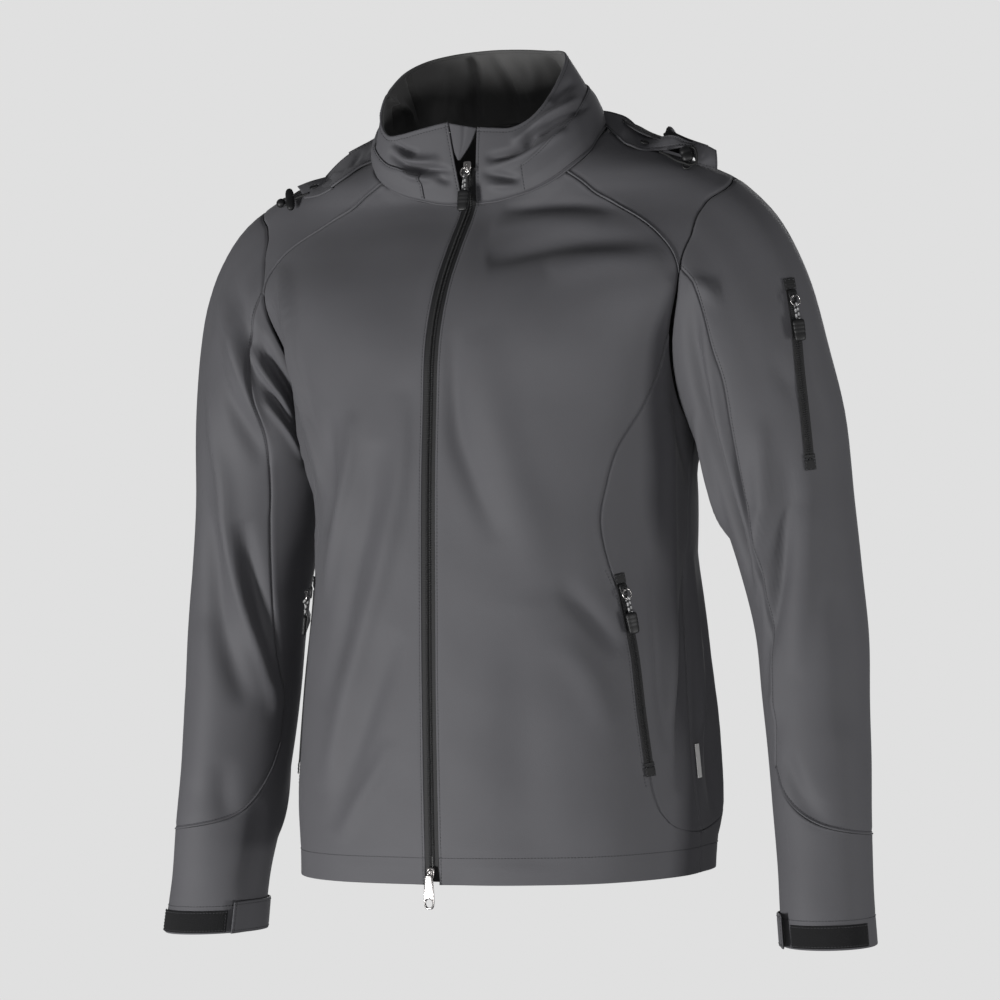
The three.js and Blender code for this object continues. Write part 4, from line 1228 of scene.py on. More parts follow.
# Folds of the sleeves: line of (angle, place along), width, height.
SLEEVE_FOLDS = {
    "left": (
        Fold([[84, .1], [101, .22], [111, .46], [115, .73], [117, 1.2], [116, 1.9]], 9, -3.4),
        Fold([[92, .22], [100, .48], [103, .76], [105, 1.2], [108, 1.8]], 9, 2.8, 0.6),
        Fold([[56, .8], [67, 1.16], [83, 1.95], [104, 2.73], [119, 3.34], [122, 4.0]], 9, -4.0),
        Fold([[68, .7], [83, 1.0], [104, 1.8], [127, 2.6]], 10, 3.0, 0.6),
        Fold([[44, .85], [55, 1.5], [72, 2.56], [86, 3.6]], 14, 2.4, 0.7),
        Fold([[52, .55], [36, .67], [16, .82]], 8, -1.2),
        Fold([[81, .08], [73, .15], [68, .26]], 5, 2.2),
        Fold([[98, 2.2], [116, 3.2], [117, 4.3]], 10, 2.2),
        Fold([[108, 4.8], [91, 5.48], [62, 5.9]], 9, -2.0),
        Fold([[114, .9], [117, 1.64], [122, 2.5]], 8, -2.4),
        Fold([[30, 2.3], [30, 3.4], [36, 4.6]], 18, -1.6),
        Fold([[128, .4], [140, .9], [154, 1.5]], 9, 3.0, 0.6),
        Fold([[-70, 1.6], [-100, 2.4], [-140, 2.9]], 12, 3.0, 0.6),
        Fold([[-66, 2.3], [-100, 3.0], [-146, 3.4]], 11, -2.8),
        Fold([[-60, 3.2], [-95, 3.7], [-140, 4.0]], 11, 2.6, 0.6),
        Fold([[-90, .4], [-120, .9], [-150, 1.5]], 12, -3.0),
        Fold([[-100, 4.6], [-120, 5.4], [-150, 6.4]], 13, 2.0),
    ),
    "right": (
        Fold([[42, .19], [78, .15], [99, .19], [109, .38]], 7, -2.6),
        Fold([[35, .29], [80, .27], [100, .34], [116, .48]], 8, 3.0, 0.6),
        Fold([[50, .38], [87, .48], [107, .57], [123, .68]], 9, -2.6),
        Fold([[54, .5], [73, .73], [85, .95], [100, 1.83], [118, 2.63], [143, 3.46], [164, 4.3]], 11, 3.6,
             0.6),
        Fold([[58, .8], [71, 1.34], [89, 2.48], [111, 3.44], [131, 4.1]], 12, -3.6),
        Fold([[102, 1.1], [119, 2.0], [137, 2.8], [158, 3.8]], 9, -3.8),
        Fold([[96, .1], [108, .12], [125, .13], [147, .17], [165, .4]], 7, -4.2),
        Fold([[95, .19], [113, .2], [131, .21], [155, .34]], 6, 3.6, 0.6),
        Fold([[106, .23], [126, .26], [147, .32], [164, .5]], 6, -3.8),
        Fold([[116, .32], [137, .35], [158, .48]], 6, 3.2, 0.6),
        Fold([[110, 5.0], [116, 5.6], [126, 6.0]], 11, -1.6),
        Fold([[78, 2.7], [84, 4.0], [88, 5.5]], 20, 1.8),
        Fold([[158, 5.7], [162, 6.6], [156, 7.4]], 12, -2.0),
        Fold([[-70, 1.7], [-104, 2.5], [-146, 2.9]], 12, 3.0, 0.6),
        Fold([[-64, 2.6], [-100, 3.2], [-144, 3.5]], 11, -2.8),
        Fold([[-90, .4], [-118, .9], [-148, 1.5]], 12, -3.0),
        Fold([[-96, 4.5], [-118, 5.3], [-148, 6.3]], 13, 2.0),
    ),
}
# Creases of the collar: line of (place round, share of the height), width, height.
COLLAR_FOLDS = (
    Fold([[7.4, .40], [5.9, .55], [4.9, .63], [4, .68], [3.2, .73], [2.7, .64]], 4.5, -3.6, 0.7),
    Fold([[3.5, .70], [2.7, .63], [1.7, .60], [.6, .58]], 4, -3.4),
    Fold([[7.2, .56], [5.3, .70], [3.8, .80], [2, .79]], 5, 2.8, 0.6),
    Fold([[5.2, .44], [3.6, .5], [2.2, .5], [.9, .48]], 4, 2.4),
    Fold([[.4, .40], [1.5, .31], [2.3, .20]], 3.6, -2.2),
    Fold([[.6, .24], [1.4, .18], [2.2, .14]], 3.4, 1.4),
    Fold([[7.6, .74], [6.4, .84], [5, .9]], 5, -1.6),
    Fold([[26.4, .9], [27.2, .73], [28, .66]], 3.6, -2.8, 0.7),
    Fold([[26.2, .72], [27.3, .49], [28, .45], [29, .44], [29.7, .40]], 4, -3.4, 0.7),
    Fold([[26.5, .82], [27.2, .62], [28.2, .56], [29.2, .56]], 4, 2.6),
    Fold([[26.8, .52], [27.6, .35], [28.7, .32]], 4, 2.0),
    Fold([[28.8, .36], [29.6, .27]], 3, -2.0),
    Fold([[11.5, .95], [11.8, .65], [11.7, .35]], 8, 1.6),
    Fold([[14.6, .92], [14.2, .60], [14.6, .30]], 7, -1.6),
    Fold([[24.2, .92], [24.0, .65], [24.4, .42]], 6, -1.6),
)
COLLAR_INSIDE = (
    Fold([[16.5, .97], [16.6, .8], [17.3, .43], [17.7, .02]], 4, 3.4),
    Fold([[15.2, .97], [15.3, .6], [15.5, .3], [15.7, .02]], 4.5, 2.4),
    Fold([[18.0, .4], [18.1, .26], [18.4, .02]], 3, 2.6),
    Fold([[23.0, .95], [22.6, .85], [21.1, .47], [20.8, .04]], 4, -3.6, 0.5),
    Fold([[20.8, .95], [20.6, .81], [20.3, .44], [20.2, .06]], 3.4, 3.4, 0.6),
    Fold([[22.0, .8], [21.8, .5], [21.9, .2]], 3.4, 2.8),
    Fold([[18.3, .9], [18.9, .4], [19.4, .08]], 6, -2.0),
    Fold([[13.0, .95], [13.3, .71], [14.2, .36], [14.6, .05]], 7, -2.0),
    Fold([[11.6, .9], [12.0, .6], [12.8, .3]], 6, 1.8),
)
HOOD_FOLDS = (
    Fold([[4.0, 3.2], [4.8, 3.0], [5.6, 3.1]], 16, 2.0, 0.6),
    Fold([[8.0, 3.2], [7.4, 3.0], [6.4, 3.1]], 16, 2.0, 0.6),
    Fold([[4.2, 2.4], [5.2, 2.7], [6.0, 2.6]], 12, -3.0),
    Fold([[7.8, 2.4], [6.8, 2.7], [6.0, 2.6]], 12, -3.0),
    Fold([[6.0, 3.9], [6.1, 3.2], [5.9, 2.5]], 14, 2.4),
    Fold([[2.0, 3.5], [3.0, 2.8], [4.0, 2.2]], 10, -2.4),
    Fold([[10.0, 3.5], [9.0, 2.8], [8.0, 2.2]], 10, -2.4),
)

LABEL = [[87.8, -552], [88.0, -567], [88.3, -584]]
POCKET = [[59, -392], [61, -420], [64.5, -470], [66.5, -530], [67.6, -566]]
SLEEVE_POCKET = [[22, .36], [27, .5], [32, .62], [36, .75], [39, .86]]
PATCH = {"left": (14, 118), "right": (33, 136)}
STRAP = {"left": (121, 214), "right": (139, 232)}
# Hood brims as they lie on the shoulders: points along the upper edge, the middle and the lower edge.
BRIM = {
    "right": [
        [[-119.3, 18.3, 32.7], [-128.5, 11.2, 29.9], [-140.5, 4.8, 24.3], [-151.6, -1.2, 18.8],
         [-162.8, -5, 11.4], [-173.3, -6.2, 3], [-182, -8.7, -6.4]],
        [[-107.8, -3.1, 22.1], [-117.1, -8, 19.4], [-130.9, -10.9, 14], [-142, -16.8, 8.4],
         [-151.4, -21.8, 1.9], [-160.9, -24.7, -5.5], [-171.5, -23.7, -11.9]],
        [[-92.4, -31.4, 13.1], [-108.5, -24.1, 9.1], [-121.9, -25.6, 4.7], [-131.6, -31.9, 0.1],
         [-140.3, -40, -7.5], [-148.4, -43.3, -13.1], [-157.6, -42.6, -18.5]],
    ],
    "left": [
        [[85.2, 43.8, 41.7], [103.2, 37.3, 38.9], [122.8, 29.3, 33.2], [139.9, 17.6, 22.9], [154.3, 9, 12.7],
         [169.5, 3.4, 11.1], [187.1, -3.2, 11.3], [203, -6.4, 5.1], [213, -8.1, 1.9]],
        [[93.1, 31.9, 34.3], [112.8, 19.5, 28.5], [131.6, 8.7, 20], [146.1, 0.2, 10.9], [158.7, -4.7, 4.7],
         [171.3, -5, 3.4], [187.2, -7.9, 4.6], [200.6, -10, 2.3], [209.7, -12.1, 0.1]],
        [[99.2, 23.7, 29.1], [120.4, 1.7, 19.3], [140.1, -13.2, 7], [150.2, -17.1, 2.8], [159, -16, -1.2],
         [168.9, -10.9, -2.3], [184.8, -11.6, -1.9], [198.1, -13.7, -0.5], [207.3, -15.7, -1.8]],
    ],
}
# Tabs at the ends of the brims, in the same three lines.
TAB = {
    "right": [[[-200.8, -32.3, -14.1], [-188.9, -25.9, -9.5], [-177.2, -15.2, -5.8]],
              [[-193.5, -37.6, -20.2], [-180.9, -34.4, -16.7], [-167.7, -28.5, -12.1]],
              [[-188, -41.7, -27.1], [-171.6, -43.3, -24.8], [-155.8, -43.9, -18.6]]],
    "left": [[[208.8, -7.9, 3.9], [220, -5.6, -0.1], [228.2, 0.7, -5.7]],
             [[212.2, -13.3, -7.5], [222.5, -9.2, -11.4], [230.3, -1.8, -14.2]],
             [[214.7, -14.6, -17.8], [222.1, -8.5, -20.6], [229, 0.6, -22.5]]],
}
# Eyelet: its middle and the end of its long axis. Cord lock: its barrel's two ends and its knob's middle.
EYELET = {"right": [[-179.4, -37, -16.3], [-173.4, -36, -14.5]],
          "left": [[158.4, -7.1, 6.5], [163.8, -6.6, 4.5]]}
LOCK = {"right": [[-208.7, -34.2, -16.8], [-200, -46.1, -37.4], [-213.5, -41.6, -30.2]],
        "left": [[204.9, -19.2, -0.9], [211.5, -22.9, -15.1], [210.3, -24.7, -17.9]]}
DRAW_CORD = {
    "right": [[-183.7, -39.4, -22.4], [-189.8, -40.4, -24.2], [-196.9, -39.6, -25.9], [-203.8, -41.1, -29.5],
              [-212.2, -42.1, -33.2], [-215.7, -41.6, -29.2], [-210.4, -41, -26.5], [-203.5, -39.6, -24.7],
              [-197.2, -35, -20], [-191.1, -34.1, -18.3]],
    "left": [[210.7, -18.4, -1.1], [215.6, -18.2, -3.1], [218.1, -19.3, -9.7], [217.7, -20.8, -16.2],
             [213.2, -24.4, -18], [207.9, -26, -16], [200, -26.6, -13], [190.8, -24.4, -8],
             [179.9, -18.7, -3.8]],
}
CORD_RADIUS = 1.15
FORWARD = np.array([0.46, -0.887, 0.03])
SEAM, PIPED, FREE, PLAIN = Border(Edge.SEAM), Border(Edge.PIPED), Border(Edge.FREE), Border(Edge.PLAIN)


class Anchored(Relief):
    """Relief that dies out towards the lines where other pieces are sewn on."""

    def __init__(self, surface: Surface, folds: Sequence[Fold], uneven: float, seed: int,
                 still: Sequence[tuple[Array, float]], gain: float = 1.0, mirrored: bool = False) -> None:
        """Keeps the still lines.

        Args:
            surface: surface that the folds lie on.
            folds: the folds.
            uneven: height of the gentle unevenness.
            seed: seed of the unevenness.
            still: lines in millimetres and the distance over which the relief comes back.
            gain: factor on the height of the folds.
            mirrored: whether the folds are on the wearer's right.
        """
        super().__init__(surface, folds, uneven, seed, mirrored, gain)
        self.still = still

    def height(self, p: Array, n: Array) -> Array:
        """See Relief.height."""
        if self.mirrored:
            m = np.array([-1.0, 1, 1])
            p, n = p * m, n * m
        total = super().height(p, n)
        flat = p.reshape(-1, 3)
        for line, reach in self.still:
            near = np.full(len(flat), 1e9)
            for part in np.array_split(np.arange(len(flat)), max(1, len(flat) * len(line) // 2_000_000)):
                gap = flat[part][:, None] - line[None]
                near[part] = np.sqrt((gap**2).sum(2).min(1))
            total = total * ramp(near, 0, reach).reshape(total.shape)
        return total


def grid(a0: float, a1: float, na: int, b0: float | Callable[[Array], Array],
         b1: float | Callable[[Array], Array], nb: int) -> Array:
    """A plain grid of pairs.

    Args:
        a0: first number at the left.
        a1: first number at the right.
        na: columns less one.
        b0: second number at the top, or its line over the columns from 0 to 1.
        b1: second number at the bottom, or its line.
        nb: rows less one.

    Returns:
        The grid.
    """
    t = np.linspace(0, 1, na + 1)
    top = b0(t) if callable(b0) else np.full(na + 1, float(b0))
    low = b1(t) if callable(b1) else np.full(na + 1, float(b1))
    v = np.linspace(0, 1, nb + 1)[:, None]
    a = np.broadcast_to(a0 + (a1 - a0) * t, (nb + 1, na + 1))
    return np.stack([a, top + (low - top) * v], -1)


class Strip(Surface):
    """A flat strip that lies along a line on another surface: across it in millimetres, along it from 0."""

    STEP = (0.5, 0.02)

    def __init__(self, line: Array, surface: Surface) -> None:
        """Keeps the line.

        Args:
            line: pairs on the surface.
            surface: the surface that the strip lies on.
        """
        self.points = surface.point(line[:, 0], line[:, 1])
        self.out = surface.normal(line[:, 0], line[:, 1])

    def point(self, a: Array, b: Array) -> Array:
        """See Surface.point."""
        a, b = np.broadcast_arrays(np.asarray(a, float), np.asarray(b, float))
        p, n = smooth(self.points, b), self.normal(a, b)
        last = len(self.points) - 1
        way = smooth(self.points, np.minimum(b + 0.1, last)) - smooth(self.points, np.maximum(b - 0.1, 0))
        return p + unit(np.cross(n, unit(way))) * a[..., None]

    def normal(self, a: Array, b: Array) -> Array:
        """See Surface.normal."""
        _, b = np.broadcast_arrays(np.asarray(a, float), np.asarray(b, float))
        return unit(smooth(self.out, b))


class Lofted(Surface):
    """A smooth surface through three lines of points: along them from 0, and across them from 0 to 2."""

    STEP = (0.05, 0.05)

    def __init__(self, lines: Sequence, sign: float) -> None:
        """Keeps the lines.

        Args:
            lines: three lines with equally many points.
            sign: 1 or -1, which turns the normals outwards.
        """
        self.lines = [np.array(line, float) for line in lines]
        self.last = len(self.lines[0]) - 1.0
        self.LIMITS = ((0.06, self.last - 0.06), (0.06, 1.94))
        self.SIGN = sign

    def point(self, a: Array, b: Array) -> Array:
        """See Surface.point."""
        a, b = np.broadcast_arrays(np.asarray(a, float), np.asarray(b, float))
        top, mid, low = (smooth(line, a) for line in self.lines)
        t = b[..., None]
        return top * (t - 1) * (t - 2) / 2 - mid * t * (t - 2) + low * t * (t - 1) / 2


class Jacket:
    """Builds every piece of the jacket."""

    def __init__(self) -> None:
        """Sets up the surfaces, materials and still lines."""
        self.torso = Torso()
        self.sleeve = Sleeve(self.torso)
        self.collar = Collar(self.torso)
        self.hood = Hood(self.torso)
        self.stitches = Stitches()
        self.paint = {key: finish.material() for key, finish in FINISHES.items()}
        self.made: dict[str, bpy.types.Object] = {}
        mirror = np.array([-1.0, 1, 1])
        arm = self.sleeve.armhole(np.linspace(0, 360, 121))[0]
        z = np.linspace(HEM, ZIP_TOP, 120)
        angle = np.array([self.torso.front_angle(TAPE_HALF, h) for h in z])
        zip_line = self.torso.point(angle, z)
        pocket = steps(POCKET, 24, self.torso)
        pocket_line = self.torso.point(pocket[:, 0], pocket[:, 1])
        still = [(arm, 16.0), (arm * mirror, 16.0), (zip_line, 20.0), (zip_line * mirror, 20.0),
                 (smooth(self.collar.base, np.linspace(0, 30, 121)), 14.0), (pocket_line, 16.0),
                 (pocket_line * mirror, 16.0)]
        label = self.torso.point(np.full(20, 88.0), np.linspace(-545, -590, 20))
        still += [(label, 22.0), (label * mirror, 22.0)]
        self.relief = {"torso": Anchored(self.torso, TORSO_FOLDS, 1.2, 3, still, 3.0)}
        cuff = self.sleeve.point(np.linspace(0, 360, 61), np.full(61, CUFF))
        sleeve_zip = steps(SLEEVE_POCKET, 20, self.sleeve)
        sleeve_zip_line = self.sleeve.point(sleeve_zip[:, 0], sleeve_zip[:, 1])
        for side in ("left", "right"):
            lines = [(arm, 14.0), (cuff, 60.0)] + ([(sleeve_zip_line, 16.0)] if side == "left" else [])
            self.relief[side] = Anchored(self.sleeve, SLEEVE_FOLDS[side], 0.8, 7 if side == "left" else 11,
                                         lines, 2.7, side == "right")
        ends = self.collar.point(np.zeros(20), np.linspace(0, 1, 20))
        far = self.collar.point(np.full(20, 30.0), np.linspace(0, 1, 20))
        self.relief["collar"] = Anchored(self.collar, COLLAR_FOLDS + COLLAR_INSIDE, 0.25, 5,
                                         [(self.collar.base, 6.0), (ends, 5.0), (far, 5.0)], 2.7)
        self.relief["hood"] = Anchored(self.hood, HOOD_FOLDS, 0.4, 9, [(self.collar.base, 10.0)], 0.7)

    def keep(self, made: bpy.types.Object, body: str, *nodes: str) -> bpy.types.Object:
        """Puts a piece on a body in place of some solids.

        Args:
            made: the piece.
            body: the body that it rides on.
            nodes: the solids that it stands for.

        Returns:
            The piece.
        """
        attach(made, body)
        if nodes:
            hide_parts(*nodes)
        self.made[made.name] = made
        LOG.info("%s: %d faces", made.name, len(made.data.polygons))
        return made

    def cloth(self, piece: Cloth, node: str, paint: str = "shell", inside: str = "inside",
              held: str = "hung") -> bpy.types.Object:
        """Builds one piece of cloth in place of its solid.

        Args:
            piece: the piece.
            node: the solid's name.
            paint: finish of the outer face.
            inside: finish of the inner face.
            held: how the cloth is held; not used.

        Returns:
            The piece.
        """
        verts, faces, flat, area = piece.build(self.stitches)
        made = placed_mesh(piece.name, verts, faces, self.paint[paint], flat)
        made.data.materials.append(self.paint[inside])
        mark = np.zeros(len(faces), np.int32)
        mark[faces.min(axis=1) >= len(verts) // 2] = 1
        made.data.polygons.foreach_set("material_index", mark)
        self.keep(made, "jacket", node)
        width, length = (round(float(flat[:, k].max()), 4) for k in (0, 1))
        if min(width, length) >= 0.01:
            square = min(max(area * MM * MM, 0.31 * width * length), width * length)
        return made

    def torso_pieces(self) -> None:
        """Builds the fronts, yokes, side panels and back."""
        t, f = self.torso, FINE
        at = t.front_angle
        zip_rows = [[at(TAPE_HALF, z), z] for z in (ZIP_TOP, -75, -110, -170, -300, -500, HEM)]
        zip_edge = steps(zip_rows, 25 * f, t)
        neck_front = steps([[60, -23.5], [49, -36], [35, -41], [20, -44], [at(TAPE_HALF, ZIP_TOP), ZIP_TOP]],
                           6 * f, t)
        yoke = steps(YOKE_SEAM, 6 * f, t)

        def arc(start: float, end: float, n: int) -> Array:
            return steps(smooth(ARMHOLE, start + (end - start) * np.linspace(0, 1, 33), True), n * f, t)

        start = smooth(ARMHOLE, np.array([4.15]), True)[0].tolist()
        princess = steps([start, *PRINCESS], 15 * f, t)
        turn_front, side_low = steps(PRINCESS_TURN, 5 * f, t), steps(SIDE_LOW, 2 * f, t)
        hem_front = steps([[at(TAPE_HALF, HEM), HEM], [45, HEM], [91.5, HEM]], 8 * f, t)
        neck_step = steps([[60, -23.5], [63, -17.5]], 8 * f, t)
        front = patch(neck_step, hem_front, joined(neck_front, zip_edge),
                      joined(yoke, arc(3, 4.15, 3), princess, turn_front, side_low))
        neck_yoke = steps([[63, -17.5], [67.6, -8], [77, 13], [93, 27]], 7 * f, t)
        shoulder = steps(SHOULDER_SEAM, 6 * f, t)
        yoke_cells = patch(neck_yoke, arc(3, 0, 7), yoke, shoulder)
        side = steps(SIDE_SEAM, 15 * f, t)
        side_front = patch(arc(4.15, 7, 5), turn_front, princess, side)
        back_princess = steps([ARMHOLE[9].tolist(), *BACK_PRINCESS], 15 * f, t)
        turn_back = steps(BACK_TURN, 5 * f, t)
        side_back = patch(arc(7, 9, 5), turn_back, side, back_princess)
        left = joined(shoulder, arc(13, 9, 11), back_princess, turn_back[::-1], side_low)
        right = left * [-1, 1] + [360, 0]
        neck_back = steps([[93, 27], [105, 32], [140, 36], [180, 37], [220, 36], [255, 32], [267, 27]],
                          12 * f, t)
        hem_back = steps([[91.5, HEM], [180, HEM], [268.5, HEM]], 12 * f, t)
        back = patch(neck_back, hem_back, left, right)

        def hem(_: Array, z: Array) -> Array:
            return 1.6 + 1.2 * ramp(-z, 648, 652)

        hem_edge = Border(Edge.FREE, (25.0,), sunk=0.55)
        zip_side = Border(Edge.FREE, (2.6,), (6 / 31, 1.0), 0.25)
        pocket_side = Border(Edge.SEAM, (8.4,), (0.53, 0.72), 0.2)
        for name, flip in (("left", False), ("right", True)):
            shared = {"surface": t, "relief": self.relief["torso"], "flip": flip}
            pieces = (
                ("front", front, {"top": SEAM, "bottom": hem_edge, "left": zip_side, "right": pocket_side},
                 hem),
                ("yoke_front", yoke_cells, {"top": SEAM, "bottom": SEAM, "left": PIPED, "right": SEAM}, 1.6),
                ("side_front", side_front, dict.fromkeys(SIDES, SEAM), 1.6),
                ("side_back", side_back, dict.fromkeys(SIDES, SEAM), 1.6),
            )
            for node, cells, borders, thick in pieces:
                self.cloth(Cloth(f"cloth_{node}_{name}", cells, borders=borders, thick=thick, **shared),
                           f"{node}_{name}")
        self.cloth(Cloth("cloth_back", back, t,
                         {"top": SEAM, "bottom": hem_edge, "left": SEAM, "right": SEAM},
                         self.relief["torso"], hem), "back")

    def sleeve_pieces(self) -> None:
        """Builds the sleeves, cuff patches and straps."""
        s, f = self.sleeve, FINE

        def lowered(cells: Array) -> Array:
            out = cells.copy()
            under = np.maximum(0, -np.cos(np.radians(cells[..., 0])))
            out[..., 1] = np.maximum(cells[..., 1], 0.0035 + 0.018 * under)
            return out

        rows = np.array(SEAM_BACK)
        for side, flip in (("left", False), ("right", True)):
            first = SEAM_FRONT[side][0][0]
            front, forearm = steps(SEAM_FRONT[side], 14 * f, s), steps(SEAM_FOREARM[side], 10 * f, s)
            back = steps(SEAM_BACK, 14 * f, s)
            top = steps([[first, 0], [0, 0], [-81, 0]], 10 * f, s)
            upper = lowered(patch(lowered(top), forearm, front, back))
            left = joined(front, forearm, steps(SEAM_CLOSE, 4 * f, s))
            right = np.stack([np.interp(left[:, 1], rows[:, 1], rows[:, 0]) + 360, left[:, 1]], -1)
            under_top = steps([[first, 0], [180, 0], [279, 0]], 14 * f, s)
            cuff = steps([[-105, CUFF], [255, CUFF]], 14 * f, s)
            under = lowered(patch(under_top, cuff, left, right))
            shared = {"surface": s, "relief": self.relief[side], "flip": flip}
            stitched = Border(Edge.SEAM, (2.6,), (0.0, 1.0), 0.2)
            self.cloth(Cloth(f"cloth_sleeve_upper_{side}", upper, borders={
                "top": SEAM, "bottom": Border(Edge.PIPED, (2.8,), sunk=0.2), "left": stitched, "right": SEAM},
                **shared), f"sleeve_upper_{side}")
            self.cloth(Cloth(f"cloth_sleeve_under_{side}", under, borders={
                "top": SEAM, "bottom": Border(Edge.FREE, (27.0,), sunk=0.5), "left": SEAM, "right": SEAM},
                thick=lambda _, b: 1.6 + 1.0 * ramp(b, CUFF - 0.6, CUFF - 0.5), **shared),
                f"sleeve_under_{side}")
            low, high = PATCH[side]
            trim = Border(Edge.FREE, (1.8,), sunk=0.15)
            self.cloth(Cloth(f"loop_patch_{side}", grid(low, high, 60, CUFF - 0.46, CUFF - 0.03, 14), s,
                             dict.fromkeys(SIDES, trim), lift=1.6, thick=1.2, flip=flip),
                             f"cuff_patch_{side}",
                       "loop", "loop", "laid")
            low, high = STRAP[side]

            def flare(a: Array, _: Array, start: float = low) -> Array:
                return 3.4 + 6 * np.clip((start + 22 - a) / 22, 0, 1) ** 1.5

            strap = Border(Edge.FREE, (2.8,), sunk=0.3)
            self.cloth(Cloth(f"strap_{side}", grid(low, high, 60, CUFF - 0.64, CUFF - 0.01, 18), s,
                             dict.fromkeys(SIDES, strap), lift=flare, thick=2.4, flip=flip),
                             f"cuff_strap_{side}",
                       "shell", "loop", "laid")

    def collar_pieces(self) -> None:
        """Builds the collar's two layers, its flap and the zip garage."""
        c, relief = self.collar, self.relief["collar"]
        rim = Border(Edge.FREE, (4.7,), sunk=0.35)
        end = Border(Edge.FREE, (2.6,), sunk=0.25)
        self.cloth(Cloth("cloth_collar_outer", grid(0, 30, 170, 1.0, -0.02, 34), c,
                         {"top": rim, "bottom": PIPED, "left": end, "right": end}, relief,
                         lambda _, b: 1.3 + 1.7 * ramp(b, 0.955, 0.98)), "collar_outer")
        self.cloth(Cloth("cloth_collar_inner", grid(0.12, 29.88, 170, 0.965, -0.02, 34), c,
                         {"left": FREE, "right": FREE}, relief, 1.3, -1.6), "collar_inner", "inside",
                         "inside")

        def raised(a: Array, b: Array) -> Array:
            ends = ramp(a, 2.4, 3.4) * ramp(-a, -28.0, -27.0)
            return 1.5 + 1.5 * ends * ramp(b, 0.03, 0.2) * ramp(-b, -0.52, -0.36)

        sewn = Border(Edge.FREE, (1.9,), sunk=0.3)
        self.cloth(Cloth("cloth_collar_flap",
                         grid(2.4, 28.0, 150, lambda t: 0.52 - 0.12 * np.abs(2 * t - 1) ** 6, 0.035, 18), c,
                         {"top": sewn, "left": sewn, "right": sewn, "bottom": PLAIN}, relief, 1.2, raised),
                   "collar_flap")
        n = 24
        u, v = np.linspace(0, 1, n + 1)[None, :, None], np.linspace(0, 1, n + 1)[:, None, None]
        tip = np.array([-10.0, -60.6, -1.5])
        side = c.point(np.full(n + 1, 30.0), np.linspace(0.985, 0.53, n + 1))[:, None]
        left = side + [0.1, 1.4, 0] + v**5 * (tip - side[-1] - [0.9, 1.4, 0])
        right = (c.point(np.array(0.0), np.array(0.985)) - [0.6, 0, 0]) * (1 - v) + (tip + [1.2, 0, 0]) * v
        face = (right + np.sin(np.pi * v) * [2.2, 0, 0]) * (1 - u) + left * u
        puff = np.sin(np.pi * u[..., 0]) * (1 - 0.5 * v[..., 0]) * 2.4
        crease = np.exp(-(((u[..., 0] - 0.42 + 0.1 * v[..., 0]) / 0.07) ** 2)) * -1.3 * (1 - v[..., 0])
        front = face - np.stack([0 * puff, puff + crease - 0.5, 0 * puff], -1)
        rear = face + [0, 2.0, 0]
        verts = settled(np.concatenate([front.reshape(-1, 3), rear.reshape(-1, 3)]))
        across = np.cross(front[n // 2, n // 2 + 1] - front[n // 2, n // 2],
                          front[n // 2 + 1, n // 2] - front[n // 2, n // 2])
        made = placed_mesh("cloth_zip_garage", verts, wall_faces(n + 1, n + 1, across[1] > 0),
                           self.paint["shell"])
        self.keep(made, "jacket", "zip_garage")

    def hood_pieces(self) -> None:
        """Builds the hood, its brim, the tabs and the draw cords."""
        h, relief = self.hood, self.relief["hood"]

        def folded(_: Array, b: Array) -> Array:
            return 1.3 + 1.6 * ramp(b, 3.7, 3.9) + 1.0 * ramp(-b, -0.25, -0.1)

        edge = Border(Edge.FREE, (5.0,), sunk=0.3)
        for node, k0, k1, n in (("left", 0.4, 4.5, 9), ("centre", 4.5, 7.5, 6), ("right", 7.5, 10.6, 7)):
            left, right = (FREE if node == end else SEAM for end in ("left", "right"))
            borders = {"top": FREE, "bottom": edge, "left": left, "right": right}
            self.cloth(Cloth(f"cloth_hood_{node}", grid(k0, k1, n * 6, 0, 4, 54), h, borders, relief, folded),
                       f"hood_{node}", "dark", "shell", "folded")
        for side, sign in (("left", -1.0), ("right", 1.0)):
            band = Lofted(BRIM[side], sign)
            edges = {"top": Border(Edge.FREE, (3.0,), sunk=0.4),
                     "bottom": Border(Edge.FREE, (3.4,), sunk=0.5),
                     "left": FREE, "right": FREE}
            ripple = Relief(band, [Fold([[1.2, 0.3], [1.8, 1.0], [2.3, 1.6]], 5, 1.6),
                                   Fold([[2.6, 0.4], [3.1, 1.0], [3.6, 1.5]], 4, -1.6),
                                   Fold([[4.4, 1.4], [5.2, 1.0], [5.8, 0.6]], 4, 1.4)], 0.6, 4)
            self.cloth(Cloth(f"cloth_hood_brim_{side}", grid(0, band.last, 90, 0, 2, 26), band, edges, ripple,
                             2.4, 1.2),
                       f"hood_brim_{side}", "shell", "dark", "folded")
            tab = Lofted(TAB[side], sign)
            trim = Border(Edge.FREE, (1.8,), sunk=0.3)
            self.cloth(Cloth(f"cloth_hood_tab_{side}", grid(0, 2, 40, 0, 2, 30), tab,
                             dict.fromkeys(SIDES, trim),
                             thick=2.0, lift=2.0), f"hood_tab_{side}", "shell", "shell", "laid")
            self.eyelet(side, tab if side == "right" else band)
            self.draw_cord(side)

